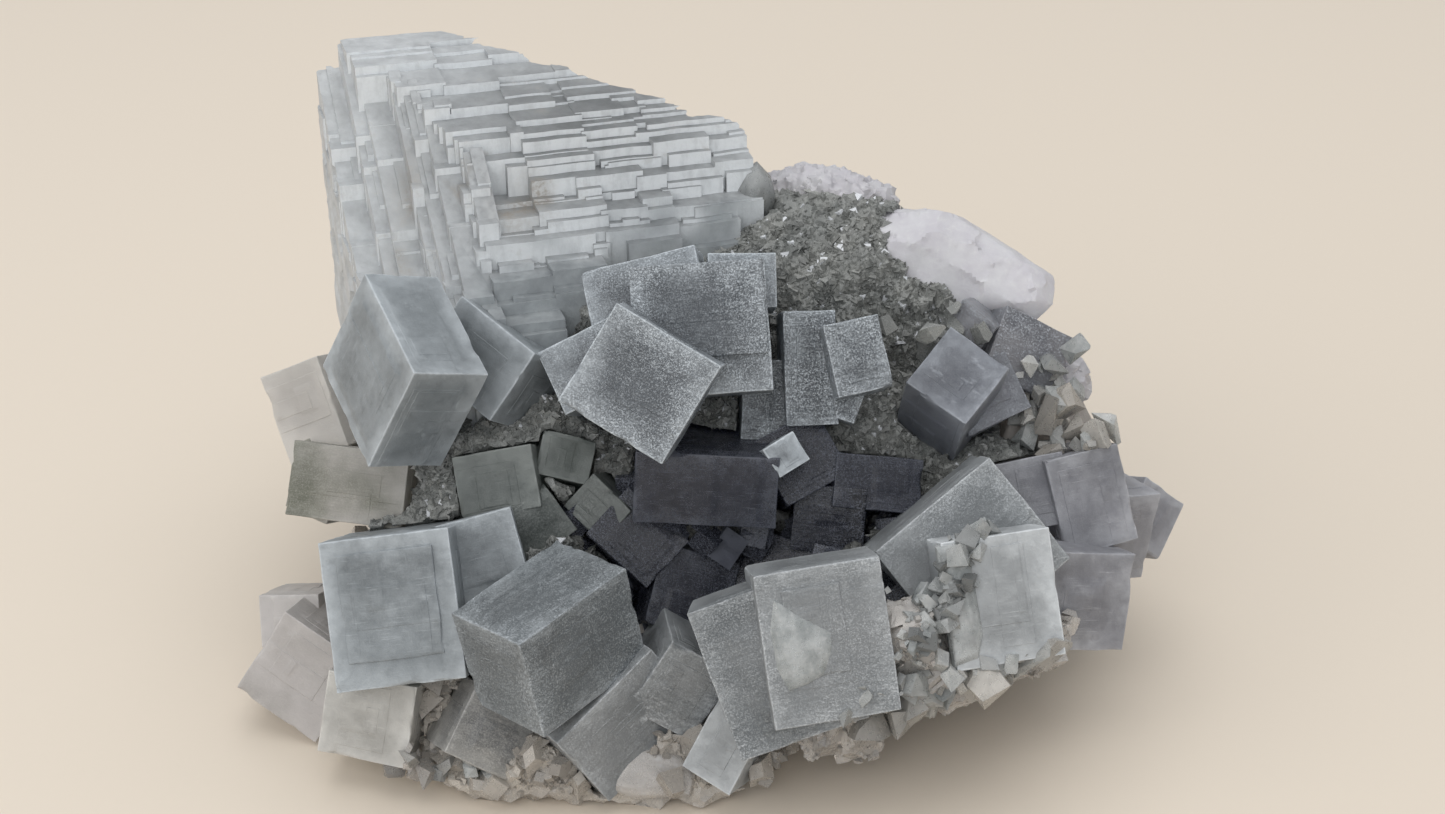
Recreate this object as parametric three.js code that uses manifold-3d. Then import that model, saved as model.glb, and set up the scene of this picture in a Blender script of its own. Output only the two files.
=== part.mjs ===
// A fluorite specimen: cubic crystals grown over a druzy matrix, with one large stepped crystal at the back.
// Millimetres, +Z up. The viewer stands at -Y. The origin is at the base, under the middle.
import * as THREE from "three";
import { ConvexGeometry } from "three/addons/geometries/ConvexGeometry.js";
import { mergeVertices } from "three/addons/utils/BufferGeometryUtils.js";
import Module from "manifold-3d";

const wasm = await Module();
wasm.setup();
const { Manifold, Mesh } = wasm;

// Driving dimensions
const SEAT_GAP = 0.3; // a crystal stands this far off the solids that hold it
const TERRACE_HEIGHT = 0.5; // how far a growth terrace stands proud of its face
const DRUSE_CUBE = { least: 2, most: 3.6 }; // edge of the small cubes fused to the matrix
const STANCE_HEIGHT = 0; // the flat broken underside that the specimen rests on

// Colours of the finishes, with roughness
const FINISHES = {
  druse: { color: 0x6e6c66, roughness: 0.55 },
  milky: { color: 0xb9bfc1, roughness: 0.5 },
  frosted: { color: 0x98a2a7, roughness: 0.45 },
  clear: { color: 0x7d8488, roughness: 0.35 },
  smoky: { color: 0x3a3e48, roughness: 0.3 },
  mauve: { color: 0x8f8b90, roughness: 0.4 },
  crust: { color: 0xd3d5d8, roughness: 0.6 },
  broken: { color: 0xc3b8aa, roughness: 0.5 },
  brown: { color: 0x8a7c70, roughness: 0.4 },
};

// A repeatable stream of numbers from 0 to 1
function randomStream(seed) {
  let state = seed;
  return () => {
    state = (state * 1664525 + 1013904223) % 4294967296;
    return state / 4294967296;
  };
}

// A closed three.js geometry as a solid
function solidOf(geometry) {
  const bare = geometry.clone();
  bare.deleteAttribute("normal");
  bare.deleteAttribute("uv");
  const merged = mergeVertices(bare, 1e-4);
  return new Manifold(
    new Mesh({
      numProp: 3,
      vertProperties: merged.getAttribute("position").array,
      triVerts: new Uint32Array(merged.index.array),
    }),
  );
}

function geometryOf(solid) {
  const mesh = solid.getMesh();
  return new THREE.BufferGeometry()
    .setAttribute("position", new THREE.BufferAttribute(mesh.vertProperties, 3))
    .setIndex(new THREE.BufferAttribute(mesh.triVerts, 1));
}

const union = (solids) => solids.reduce((whole, piece) => whole.add(piece));

// The one body that a cut leaves in place of crumbs
const largestBody = (solid) =>
  solid.decompose().reduce((best, body) => (body.volume() > best.volume() ? body : best));

// A crystal's frame. turn is [facing, lift, spin] in degrees: facing is the way its front face looks, from the
// viewer round to the right; lift tips that face up; spin turns it clockwise as the viewer sees it.
function frameOf(at, turn) {
  const [facing, lift, spin] = turn.map(THREE.MathUtils.degToRad);
  const front = new THREE.Vector3(
    Math.sin(facing) * Math.cos(lift),
    -Math.cos(facing) * Math.cos(lift),
    Math.sin(lift),
  );
  const level = new THREE.Vector3(Math.cos(facing), Math.sin(facing), 0);
  const right = level.clone().applyAxisAngle(front, -spin);
  const up = new THREE.Vector3().crossVectors(front, right);
  return new THREE.Matrix4().makeBasis(right, up, front).setPosition(...at);
}

// A block in a crystal's frame, from its low corner to its high corner, grown on every side
function block(frame, low, high, grow) {
  const size = high.map((value, i) => value - low[i] + 2 * grow);
  const middle = high.map((value, i) => (value + low[i]) / 2);
  const box = new THREE.BoxGeometry(...size).translate(...middle);
  return solidOf(box.applyMatrix4(frame));
}

// One cube or plate. at is the middle of its front face, size is [width, height, depth], and terrace is
// [left, bottom, right, top]: the share of the front face that a raised growth step covers.
function crystal({ at, size, turn, terrace }, grow = 0) {
  const [width, height, depth] = size;
  const frame = frameOf(at, turn);
  const body = block(frame, [-width / 2, -height / 2, -depth], [width / 2, height / 2, 0], grow);
  if (!terrace) return body;
  const [left, bottom, right, top] = terrace;
  const low = [(left - 0.5) * width, (bottom - 0.5) * height, -depth / 2];
  const high = [(right - 0.5) * width, (top - 0.5) * height, TERRACE_HEIGHT];
  return body.add(block(frame, low, high, grow));
}

// Crystals that grew into one another are one solid
const cluster = (crystals) => (grow) => union(crystals.map((one) => crystal(one, grow)));

// A lump of broken rock: the hull of jittered points on an ellipsoid
function lump({ at, radii, turn = 0, seed, points = 34, rough = 0.12 }, grow = 0) {
  const random = randomStream(seed);
  const corners = [];
  for (let i = 0; i < points; i++) {
    const height = 1 - (2 * (i + 0.5)) / points;
    const around = i * 2.399963 + 0.6 * random();
    const reach = 1 + rough * (random() - 0.5) * 2;
    const ring = Math.sqrt(1 - height * height);
    corners.push(
      new THREE.Vector3(
        Math.cos(around) * ring * (radii[0] * reach + grow),
        Math.sin(around) * ring * (radii[1] * reach + grow),
        height * (radii[2] * reach + grow),
      ),
    );
  }
  const hull = new ConvexGeometry(corners);
  hull.rotateZ(THREE.MathUtils.degToRad(turn)).translate(...at);
  return solidOf(hull);
}

// The large stepped crystal: a field of tiles in one lattice. Its top is nearly level up to the brow, and falls away in
// steps before it; the left side is steep; the back ridge runs slantwise. Heights are measured from its foot, across
// runs to the right of the brow's middle and forward runs towards the viewer.
const STEPPED = {
  at: [-18.9, 17.5, 24],
  turn: [17, 0, 0],
  bands: [-27.4, -22.8, -17.6, -12.4, -6.8, -3, 0.2, 2.6, 5.3, 8.4, 11.2, 14.6, 18.4, 22.6],
  left: -23.6,
  right: 24.4,
  breaks: [-10.1, -3.4, 4, 12], // tiles of all bands end here
  brow: 33.3,
  topFall: 0.22, // drop for each millimetre forward, behind the brow
  frontFall: 0.8, // the same, before the brow
  side: { height: 46.3, rise: 1.315, fall: 0.68 }, // the left side's slope, to the right and forward
  ledge: 0.6, // heights are whole numbers of ledges
  unevenness: 1.1,
  narrow: [3.4, 5], // widths of the tiles on the left side
  wide: [5, 11.5], // widths of those on the top and the front
  notch: { left: -10.1, right: -3.4, rear: 2.6, fore: 8, top: 26.8 }, // before the tallest riser
};

// Where the back is broken off, along two lines from one [across, forward] to another, leaning back below the ridge
const BREAKS_OFF = { lines: [[[-7.6, -28], [12.6, -5.4]], [[11, -2.2], [25, 4.4]]], height: 36, lean: 22 };

// How far forward the crystal reaches, as [across, forward]
const REACH_LINE = [[-26, 2], [-20, 12], [-14, 20], [-11.5, 21.5], [-4.4, 18], [1.2, 13], [6.4, 11.5], [18.8, 10],
  [25, 8]];

function along(line, value) {
  const next = line.findIndex(([place]) => place >= value);
  const [[start, low], [end, high]] = [line[Math.max(0, next - 1)], line[Math.max(1, next)]];
  return low + ((high - low) * (value - start)) / (end - start);
}

function steppedHeight(across, forward) {
  const { brow, topFall, frontFall, side } = STEPPED;
  const front = brow - forward * (forward < 0 ? topFall : frontFall);
  const left = side.height + side.rise * across - side.fall * forward;
  return Math.min(front, left);
}

// The tiles, as [left, right, rear, fore, top]
function steppedTiles() {
  const { bands, breaks, ledge, unevenness, narrow, wide, notch, side, brow } = STEPPED;
  const random = randomStream(7);
  const tiles = [];
  for (let i = 0; i + 1 < bands.length; i++) {
    const [rear, fore] = [bands[i], bands[i + 1]];
    for (let left = STEPPED.left; left < STEPPED.right - 0.5; ) {
      const steep = side.height + side.rise * (left + 1.5) - side.fall * fore < brow - Math.max(0, fore) * 0.8 + 1;
      const [least, most] = steep ? narrow : wide;
      let right = Math.min(STEPPED.right, left + least + (most - least) * random());
      for (const place of breaks) if (left < place - 0.5 && right > place) right = place;
      const middle = (left + right) / 2;
      let top = steppedHeight(steep ? left + 0.6 : middle, fore) + (random() - 0.5) * unevenness;
      const jog = 1.5 * (random() - 0.4);
      if (left >= notch.left && right <= notch.right && rear >= notch.rear && fore <= notch.fore + 0.5)
        top = Math.min(top, notch.top);
      top = Math.round(top / ledge) * ledge;
      if (fore <= along(REACH_LINE, middle) + 1.5 && top > 2) tiles.push([left, right, rear, fore + jog, top]);
      left = right;
    }
  }
  return tiles;
}

// All that lies behind a line at the ridge's height, with a face that leans back
function behind([start, end], grow) {
  const run = new THREE.Vector3(end[0] - start[0], 0, end[1] - start[1]).normalize();
  const lean = THREE.MathUtils.degToRad(BREAKS_OFF.lean);
  const level = new THREE.Vector3(-run.z, 0, run.x);
  const fore = level.clone().multiplyScalar(Math.cos(lean)).setY(-Math.sin(lean));
  const up = level.clone().multiplyScalar(Math.sin(lean)).setY(Math.cos(lean));
  const place = new THREE.Matrix4().makeBasis(run, up, fore).setPosition(start[0], BREAKS_OFF.height, start[1]);
  const frame = frameOf(STEPPED.at, STEPPED.turn).multiply(place);
  return block(frame, [-100, -100, -100], [100, 100, -grow], 0);
}

function steppedCrystal(grow) {
  const frame = frameOf(STEPPED.at, STEPPED.turn);
  const blocks = steppedTiles().map(([left, right, rear, fore, top]) =>
    block(frame, [left - 0.3, 0, rear - 0.3], [right + 0.3, top, fore], grow),
  );
  const [first, second] = BREAKS_OFF.lines.map((line) => behind(line, grow));
  return union(blocks).subtract(first.intersect(second));
}

// Crystals and their places
const LEFT_CUBES = [
  { at: [-37, -13.5, 41.8], size: [14, 15.5, 9], turn: [-56, 17, -68] },
  { at: [-26, -7, 40], size: [12, 9, 9], turn: [-30, 34, 20] },
];
const FAR_LEFT_CUBES = [
  { at: [-47, -1, 30], size: [8, 11, 12], turn: [-20, 20, -28] },
  { at: [-41, -10, 25.5], size: [14, 8.5, 12], turn: [-14, 30, 0] },
  { at: [-45.5, -8, 23.5], size: [6, 6, 9], turn: [-26, 20, 8] },
];
const OUTER_LEFT_CUBES = [
  { at: [-45.8, -22, 7.6], size: [10.8, 11, 14], turn: [-9, 17, 31] },
  { at: [-48, -15, 10.5], size: [7, 6, 9], turn: [-8, 24, -6] },
];
const PLATES = [
  { at: [-1, -12, 46], size: [14.6, 14.2, 9], turn: [0, 30, -4], terrace: [0, 0.28, 0.98, 1] },
  { at: [-7.4, -20, 43.5], size: [12.8, 12, 7], turn: [-5, 25, 29] },
  { at: [-7, -6.5, 46.5], size: [13, 10, 8], turn: [-8, 32, -17] },
  { at: [-13.5, -10, 40.5], size: [9, 7.5, 9], turn: [-12, 30, -32] },
  { at: [3.5, -5, 48.5], size: [7.5, 6, 9], turn: [2, 30, 0] },
  { at: [11, -9.5, 40], size: [5.8, 12.6, 9], turn: [4, 28, 0] },
  { at: [16, -11.5, 42.5], size: [6.2, 8, 8], turn: [5, 32, -10] },
  { at: [15, -11, 36.5], size: [3, 4, 6], turn: [0, 30, 20] },
  { at: [8.2, -17.5, 33.6], size: [4, 3.6, 5], turn: [14, 34, -24] },
  { at: [7, -9.5, 36], size: [7, 9, 8], turn: [3, 30, 4] },
];
const VALLEY_CUBES = [
  { at: [-0.5, -19, 30], size: [15.5, 8, 14], turn: [0, 12, 3] },
  { at: [-8, -18, 23.5], size: [9, 7, 10], turn: [6, 34, 45] },
  { at: [-2, -20, 17.5], size: [9, 9, 10], turn: [18, 30, 24] },
  { at: [7, -18, 18.5], size: [10, 9, 12], turn: [-14, 44, 12] },
  { at: [13, -16, 24.5], size: [8, 7.5, 11], turn: [-6, 20, 2] },
  { at: [18.5, -14, 28], size: [10, 6, 14], turn: [14, 30, 12] },
  { at: [10, -13.5, 31], size: [8, 8, 9], turn: [8, 36, -24] },
];
const OLIVE_CUBES = [
  { at: [-23.5, -15.5, 29], size: [9, 7, 8], turn: [-8, 30, -14] },
  { at: [-16, -12.5, 30.5], size: [6, 5, 7], turn: [10, 36, 18] },
  { at: [-12.5, -16, 26], size: [6, 5, 8], turn: [-16, 28, 36] },
  { at: [-19.5, -18, 24.5], size: [8, 6, 8], turn: [14, 24, -30] },
];
const FRONT_LEFT_CUBES = [
  { at: [-33.5, -29.5, 21.5], size: [14, 16, 14], turn: [-4, 27, -9], terrace: [0.12, 0.18, 0.86, 0.9] },
  { at: [-24.5, -24, 24], size: [9, 10, 12], turn: [6, 30, -12] },
  { at: [-12.9, -34.6, 19.7], size: [15.2, 12, 10.8], turn: [46, 6, -8] },
  { at: [-13.5, -28, 23.5], size: [5, 4, 6], turn: [30, 34, 20] },
];
const PALE_CUBES = [
  { at: [-37, -31, 8.5], size: [10, 9, 9], turn: [-10, 24, 5] },
  { at: [-23, -34, 9], size: [8, 8, 9], turn: [24, 24, 38] },
];
const RIDGE_CUBES = [
  { at: [-8.5, -33.5, 9.5], size: [14, 10, 12], turn: [30, 12, -30] },
  { at: [-3, -31.5, 12.5], size: [8, 9, 10], turn: [8, 10, 34] },
  { at: [1.5, -35.5, 8.5], size: [6, 9, 8], turn: [-20, 24, 20] },
];
const FRONT_PLATES = [
  { at: [12, -37.2, 22.6], size: [13.2, 16, 9], turn: [6, 25, -6], terrace: [0.2, 0.3, 0.66, 0.88] },
  { at: [7, -36.8, 19.6], size: [14, 16.4, 8], turn: [-4, 23, -22] },
];
const RIM_PLATES = [
  { at: [28, -24.5, 25.2], size: [16, 14, 10], turn: [5, 28, -37] },
  { at: [30.4, -32, 24.6], size: [11.6, 13.4, 9], turn: [8, 28, -4] },
];
const RIGHT_CUBES = [
  { at: [42.6, -12.5, 25], size: [8.6, 11, 12], turn: [9, 26, -9] },
  { at: [36.2, -12, 25.6], size: [8, 8, 12], turn: [6, 32, -8] },
  { at: [47.5, -10, 18.5], size: [7.5, 10.5, 12], turn: [31, 4, 13] },
  { at: [51.6, -4, 17.5], size: [6.5, 7.5, 8], turn: [30, 24, 44] },
  { at: [41, -21, 17], size: [12, 11, 12], turn: [24, 16, 14] },
];
const SMOKY_CUBES = [
  { at: [24.4, -8.6, 32.6], size: [8, 12, 8.5], turn: [-45, -30, 28] },
  { at: [36, -2, 38], size: [9, 8, 9], turn: [22, 30, 34] },
  { at: [28.5, -2, 40.5], size: [5, 6, 6], turn: [-20, 20, 30] },
  { at: [31, -6, 35], size: [8, 7, 8], turn: [10, 36, -20] },
];
const BROWN_CUBES = [
  { at: [40.5, 2, 28], size: [8, 9, 10], turn: [30, 24, -20] },
  { at: [36.5, -3.5, 27], size: [6, 7, 9], turn: [6, 30, 24] },
];
const BACK_CUBES = [
  { at: [12, 43, 25], size: [14, 13, 14], turn: [172, 18, 14] },
  { at: [22, 38, 16], size: [11, 10, 12], turn: [158, 24, -26] },
  { at: [3, 43, 15], size: [9, 9, 10], turn: [188, 12, 32] },
];
const BACK_LEFT_CUBES = [
  { at: [-30, 37, 20], size: [12, 11, 13], turn: [198, 22, 22] },
  { at: [-40, 30, 14], size: [10, 10, 12], turn: [226, 18, -18] },
];

// Lumps of the matrix, of the broken ledge along the right of the front, and of the milky crust along the crest
const MATRIX_LUMPS = [
  { at: [0, 10, 17], radii: [40, 28, 22], seed: 3, points: 24, rough: 0.1 },
  { at: [-24, 14, 26], radii: [23, 18, 16], seed: 11, points: 20 },
  { at: [14, 14, 35], radii: [24, 15, 15], turn: -14, seed: 5, points: 24 },
  { at: [-27, -12, 12], radii: [20, 18, 15], seed: 17, points: 24 },
  { at: [-12, -21, 3], radii: [28, 17, 10], seed: 23, points: 22 },
  { at: [26, -17, 15], radii: [19, 13, 9], turn: 14, seed: 29, points: 24 },
  { at: [33, -2, 16], radii: [14, 17, 14], seed: 31, points: 24 },
  { at: [-21, -7, 24], radii: [14, 11, 11], seed: 37, points: 20 },
  { at: [-5, 4, 37], radii: [12, 8, 10], seed: 71, points: 20 },
  { at: [-24, 30, 22], radii: [24, 13, 20], turn: 20, seed: 61, points: 20 },
  { at: [-2, 37, 26], radii: [15, 11, 18], turn: 20, seed: 67, points: 20 },
];
const LEDGE_LUMPS = [
  { at: [14, -30, 11], radii: [8, 7, 6], seed: 51, points: 16, rough: 0.22 },
  { at: [23, -27, 13.5], radii: [9, 7, 7], seed: 53, points: 16, rough: 0.22 },
  { at: [32, -22, 14.5], radii: [9, 7, 6], seed: 55, points: 16, rough: 0.22 },
  { at: [20, -33, 18], radii: [6, 5, 7], seed: 57, points: 14, rough: 0.25 },
];
const CREST_LUMPS = [
  { at: [24.6, 11, 44.6], radii: [7.4, 6.2, 5.6], turn: -28, seed: 41, points: 26, rough: 0.06 },
  { at: [32.6, 8.2, 41.4], radii: [7.6, 5.6, 4.6], turn: -28, seed: 42, points: 26, rough: 0.06 },
];
const RIDGE_LUMPS = [
  { at: [14, 22, 46.6], radii: [9, 5, 5], turn: -22, seed: 43, points: 26 },
];
const RIGHT_LUMPS = [{ at: [40, 5, 31.4], radii: [4.6, 4.6, 4.4], seed: 47, points: 22 }];

// Small cubes of the druse, scattered over the matrix where the big crystals leave it bare
function druse() {
  const random = randomStream(19);
  const between = (low, high) => low + (high - low) * random();
  const cubes = [];
  for (const { at, radii } of MATRIX_LUMPS)
    for (let i = 0; i < 2; i++) {
      const height = between(-0.1, 0.95);
      const around = between(0, 2 * Math.PI);
      const ring = Math.sqrt(1 - height * height);
      const edge = between(DRUSE_CUBE.least, DRUSE_CUBE.most);
      const outward = [Math.cos(around) * ring, Math.sin(around) * ring, height];
      const place = at.map((value, axis) => value + outward[axis] * radii[axis] * 0.97);
      if (place[2] < 4) continue;
      const turn = [between(0, 360), between(-40, 60), between(0, 90)];
      cubes.push(crystal({ at: place, size: [edge, edge, edge], turn }));
    }
  return cubes;
}

const overStance = (solid) => {
  const slab = new THREE.BoxGeometry(400, 400, 100).translate(0, 0, STANCE_HEIGHT - 50);
  return solid.subtract(solidOf(slab));
};

// Every node but the matrix, as a function of how far it is grown. Each one gives way to those before it.
const lumps = (ones) => (grow) => union(ones.map((one) => lump(one, grow)));
const GROWN = [
  ["stepped_crystal", "milky", steppedCrystal],
  ["left_cubes", "frosted", cluster(LEFT_CUBES)],
  ["plate_cluster", "clear", cluster(PLATES)],
  ["front_left_cubes", "frosted", cluster(FRONT_LEFT_CUBES)],
  ["front_plates", "clear", cluster(FRONT_PLATES)],
  ["rim_plates", "milky", cluster(RIM_PLATES)],
  ["right_cubes", "mauve", cluster(RIGHT_CUBES)],
  ["smoky_cubes", "smoky", cluster(SMOKY_CUBES)],
  ["brown_cubes", "brown", cluster(BROWN_CUBES)],
  ["valley_cubes", "smoky", cluster(VALLEY_CUBES)],
  ["olive_cubes", "druse", cluster(OLIVE_CUBES)],
  ["far_left_cubes", "mauve", cluster(FAR_LEFT_CUBES)],
  ["outer_left_cubes", "mauve", cluster(OUTER_LEFT_CUBES)],
  ["pale_cubes", "milky", cluster(PALE_CUBES)],
  ["ridge_cubes", "clear", cluster(RIDGE_CUBES)],
  ["back_cubes", "frosted", cluster(BACK_CUBES)],
  ["back_left_cubes", "mauve", cluster(BACK_LEFT_CUBES)],
  ["crest_crust", "crust", lumps(CREST_LUMPS)],
  ["ridge_crust", "crust", lumps(RIDGE_LUMPS)],
  ["right_crust", "crust", lumps(RIGHT_LUMPS)],
  ["broken_ledge", "broken", lumps(LEDGE_LUMPS)],
];

const specimen = new THREE.Group();

function addNode(name, finish, solid) {
  const material = new THREE.MeshStandardMaterial({ ...FINISHES[finish], metalness: 0 });
  const mesh = new THREE.Mesh(geometryOf(solid), material);
  mesh.name = name;
  specimen.add(mesh);
}

let taken = null;
for (const [name, finish, make] of GROWN) {
  const whole = overStance(make(0));
  addNode(name, finish, taken ? largestBody(whole.subtract(taken)) : whole);
  taken = taken ? taken.add(make(SEAT_GAP)) : make(SEAT_GAP);
}
const rock = union([...MATRIX_LUMPS.map((one) => lump(one)), ...druse()]);
addNode("matrix", "druse", largestBody(overStance(rock).subtract(taken)));

// The origin goes under the middle of the whole
const middle = new THREE.Box3().setFromObject(specimen).getCenter(new THREE.Vector3());
for (const mesh of specimen.children) mesh.geometry.translate(-middle.x, -middle.y, 0);

export default specimen;
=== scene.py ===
"""Dresses a fluorite specimen's solids with growth layers, frost, druse and broken rock, on a plain stage."""

import math
from collections import namedtuple
from contextlib import contextmanager
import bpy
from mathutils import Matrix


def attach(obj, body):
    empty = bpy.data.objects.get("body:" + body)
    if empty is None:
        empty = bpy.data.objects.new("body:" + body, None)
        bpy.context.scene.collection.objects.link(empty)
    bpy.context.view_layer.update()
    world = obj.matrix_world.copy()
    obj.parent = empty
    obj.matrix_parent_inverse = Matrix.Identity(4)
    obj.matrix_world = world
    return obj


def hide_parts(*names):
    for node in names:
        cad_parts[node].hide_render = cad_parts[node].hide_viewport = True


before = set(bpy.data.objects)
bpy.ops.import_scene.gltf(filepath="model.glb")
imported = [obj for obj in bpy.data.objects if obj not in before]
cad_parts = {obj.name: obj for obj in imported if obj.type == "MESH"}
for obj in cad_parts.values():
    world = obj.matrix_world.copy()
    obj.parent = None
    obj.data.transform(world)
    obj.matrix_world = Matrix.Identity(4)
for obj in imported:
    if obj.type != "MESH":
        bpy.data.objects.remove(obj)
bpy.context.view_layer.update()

import bpy
import bmesh
import numpy as np
from bpy.props import FloatProperty, FloatVectorProperty, IntProperty, PointerProperty
from mathutils import Vector
from mathutils.bvhtree import BVHTree
from mathutils.kdtree import KDTree

bl_info = {
    "name": "Fluorite Specimen",
    "version": (1, 0, 0),
    "blender": (4, 5, 0),
    "location": "View3D > Sidebar > Fluorite",
    "description": "Cubic fluorite crystals on a druzy matrix, with a large stepped crystal",
    "category": "Add Mesh",
}

MM = 0.001
# Crystal places are in millimetres, in a frame whose zero stands this far from the solids' middle
MIDDLE = np.array([1.266592, 3.168692, 0.0])
# Edges that turn by more than this many degrees are sharp, and points nearer than this many metres are one
SHARP_ANGLE = 28
SAME_POINT = 1e-7

# Crystals. at is the middle of the front face, size is width, height and depth, and turn is the facing, lift
# and spin in degrees. tone goes from 0 for a finish's second colour to 1 for its first. terrace is the left,
# bottom, right and top share of the front face that a raised step covers, and rise is the step's height.
Crystal = namedtuple("Crystal", "at size turn tone terrace rise", defaults=(None, 0.5))

PLATES = (
    Crystal((-1, -12, 46), (14.6, 14.2, 9), (0, 30, -4), 0.5, (0, 0.28, 0.98, 1)),
    Crystal((-7.4, -20, 43.5), (12.8, 12, 7), (-5, 25, 29), 0.55),
    Crystal((-7, -6.5, 46.5), (13, 10, 8), (-8, 32, -17), 0.6),
    Crystal((-13.5, -10, 40.5), (9, 7.5, 9), (-12, 30, -32), 0.6),
    Crystal((3.5, -5, 48.5), (7.5, 6, 9), (2, 30, 0), 0.6),
    Crystal((11, -9.5, 40), (5.8, 12.6, 9), (4, 28, 0), 0.3),
    Crystal((16, -11.5, 42.5), (6.2, 8, 8), (5, 32, -10), 0.4),
    Crystal((15, -11, 36.5), (3, 4, 6), (0, 30, 20), 0.2),
    Crystal((8.2, -17.5, 33.6), (4, 3.6, 5), (14, 34, -24), 1.0),
    Crystal((7, -9.5, 36), (7, 9, 8), (3, 30, 4), 0.1),
)
VALLEY_CUBES = (
    Crystal((-0.5, -19, 30), (15.5, 8, 14), (0, 12, 3), 0.8),
    Crystal((-8, -18, 23.5), (9, 7, 10), (6, 34, 45), 0.4),
    Crystal((-2, -20, 17.5), (9, 9, 10), (18, 30, 24), 0.6),
    Crystal((7, -18, 18.5), (10, 9, 12), (-14, 44, 12), 0.1),
    Crystal((13, -16, 24.5), (8, 7.5, 11), (-6, 20, 2), 0.0),
    Crystal((18.5, -14, 28), (10, 6, 14), (14, 30, 12), 0.6),
    Crystal((10, -13.5, 31), (8, 8, 9), (8, 36, -24), 0.5),
)
OLIVE_CUBES = (
    Crystal((-23.5, -15.5, 29), (9, 7, 8), (-8, 30, -14), 0.9),
    Crystal((-16, -12.5, 30.5), (6, 5, 7), (10, 36, 18), 0.6),
    Crystal((-12.5, -16, 26), (6, 5, 8), (-16, 28, 36), 0.3),
    Crystal((-19.5, -18, 24.5), (8, 6, 8), (14, 24, -30), 0.5),
)
LEFT_CUBES = (
    Crystal((-37, -13.5, 41.8), (14, 15.5, 9), (-56, 17, -68), 0.9),
    Crystal((-26, -7, 40), (12, 9, 9), (-30, 34, 20), 1.0),
)
FAR_LEFT_CUBES = (
    Crystal((-47, -1, 30), (8, 11, 12), (-20, 20, -28), 0.9),
    Crystal((-41, -10, 25.5), (14, 8.5, 12), (-14, 30, 0), 0.0),
    Crystal((-45.5, -8, 23.5), (6, 6, 9), (-26, 20, 8), 0.2),
)
OUTER_LEFT_CUBES = (
    Crystal((-45.8, -22, 7.6), (10.8, 11, 14), (-9, 17, 31), 0.3),
    Crystal((-48, -15, 10.5), (7, 6, 9), (-8, 24, -6), 0.5),
)
FRONT_LEFT_CUBES = (
    Crystal((-33.5, -29.5, 21.5), (14, 16, 14), (-4, 27, -9), 1.0, (0.12, 0.18, 0.86, 0.9), 0.18),
    Crystal((-24.5, -24, 24), (9, 10, 12), (6, 30, -12), 0.8),
    Crystal((-12.9, -34.6, 19.7), (15.2, 12, 10.8), (46, 6, -8), 0.15),
    Crystal((-13.5, -28, 23.5), (5, 4, 6), (30, 34, 20), 0.1),
)
PALE_CUBES = (
    Crystal((-37, -31, 8.5), (10, 9, 9), (-10, 24, 5), 1.0),
    Crystal((-23, -34, 9), (8, 8, 9), (24, 24, 38), 0.0),
)
RIDGE_CUBES = (
    Crystal((-8.5, -33.5, 9.5), (14, 10, 12), (30, 12, -30), 0.1),
    Crystal((-3, -31.5, 12.5), (8, 9, 10), (8, 10, 34), 0.0),
    Crystal((1.5, -35.5, 8.5), (6, 9, 8), (-20, 24, 20), 0.6),
)
FRONT_PLATES = (
    Crystal((12, -37.2, 22.6), (13.2, 16, 9), (6, 25, -6), 0.25, (0.2, 0.3, 0.66, 0.88), 0.18),
    Crystal((7, -36.8, 19.6), (14, 16.4, 8), (-4, 23, -22), 0.0),
)
RIM_PLATES = (
    Crystal((28, -24.5, 25.2), (16, 14, 10), (5, 28, -37), 0.25),
    Crystal((30.4, -32, 24.6), (11.6, 13.4, 9), (8, 28, -4), 1.0),
)
RIGHT_CUBES = (
    Crystal((42.6, -12.5, 25), (8.6, 11, 12), (9, 26, -9), 0.7),
    Crystal((36.2, -12, 25.6), (8, 8, 12), (6, 32, -8), 0.4),
    Crystal((47.5, -10, 18.5), (7.5, 10.5, 12), (31, 4, 13), 0.6),
    Crystal((51.6, -4, 17.5), (6.5, 7.5, 8), (30, 24, 44), 0.9),
    Crystal((41, -21, 17), (12, 11, 12), (24, 16, 14), 0.8),
)
SMOKY_CUBES = (
    Crystal((24.4, -8.6, 32.6), (8, 12, 8.5), (-45, -30, 28), 1.0),
    Crystal((36, -2, 38), (9, 8, 9), (22, 30, 34), 0.0),
    Crystal((28.5, -2, 40.5), (5, 6, 6), (-20, 20, 30), 0.2),
    Crystal((31, -6, 35), (8, 7, 8), (10, 36, -20), 0.6),
)
BROWN_CUBES = (
    Crystal((40.5, 2, 28), (8, 9, 10), (30, 24, -20), 0.8),
    Crystal((36.5, -3.5, 27), (6, 7, 9), (6, 30, 24), 0.3),
)
BACK_CUBES = (
    Crystal((12, 43, 25), (14, 13, 14), (172, 18, 14), 0.8),
    Crystal((22, 38, 16), (11, 10, 12), (158, 24, -26), 0.4),
    Crystal((3, 43, 15), (9, 9, 10), (188, 12, 32), 0.6),
)
BACK_LEFT_CUBES = (
    Crystal((-30, 37, 20), (12, 11, 13), (198, 22, 22), 0.7),
    Crystal((-40, 30, 14), (10, 10, 12), (226, 18, -18), 0.3),
)


# What a user can change


def length(name, description, size, least=0.0):
    """A length setting, given in millimetres."""
    return FloatProperty(
        name=name,
        description=description,
        default=size * MM,
        min=least * MM,
        subtype="DISTANCE",
        unit="LENGTH",
    )


def colour(name, description, default):
    return FloatVectorProperty(
        name=name, description=description, default=default, size=3, min=0, max=1, subtype="COLOR"
    )


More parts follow.
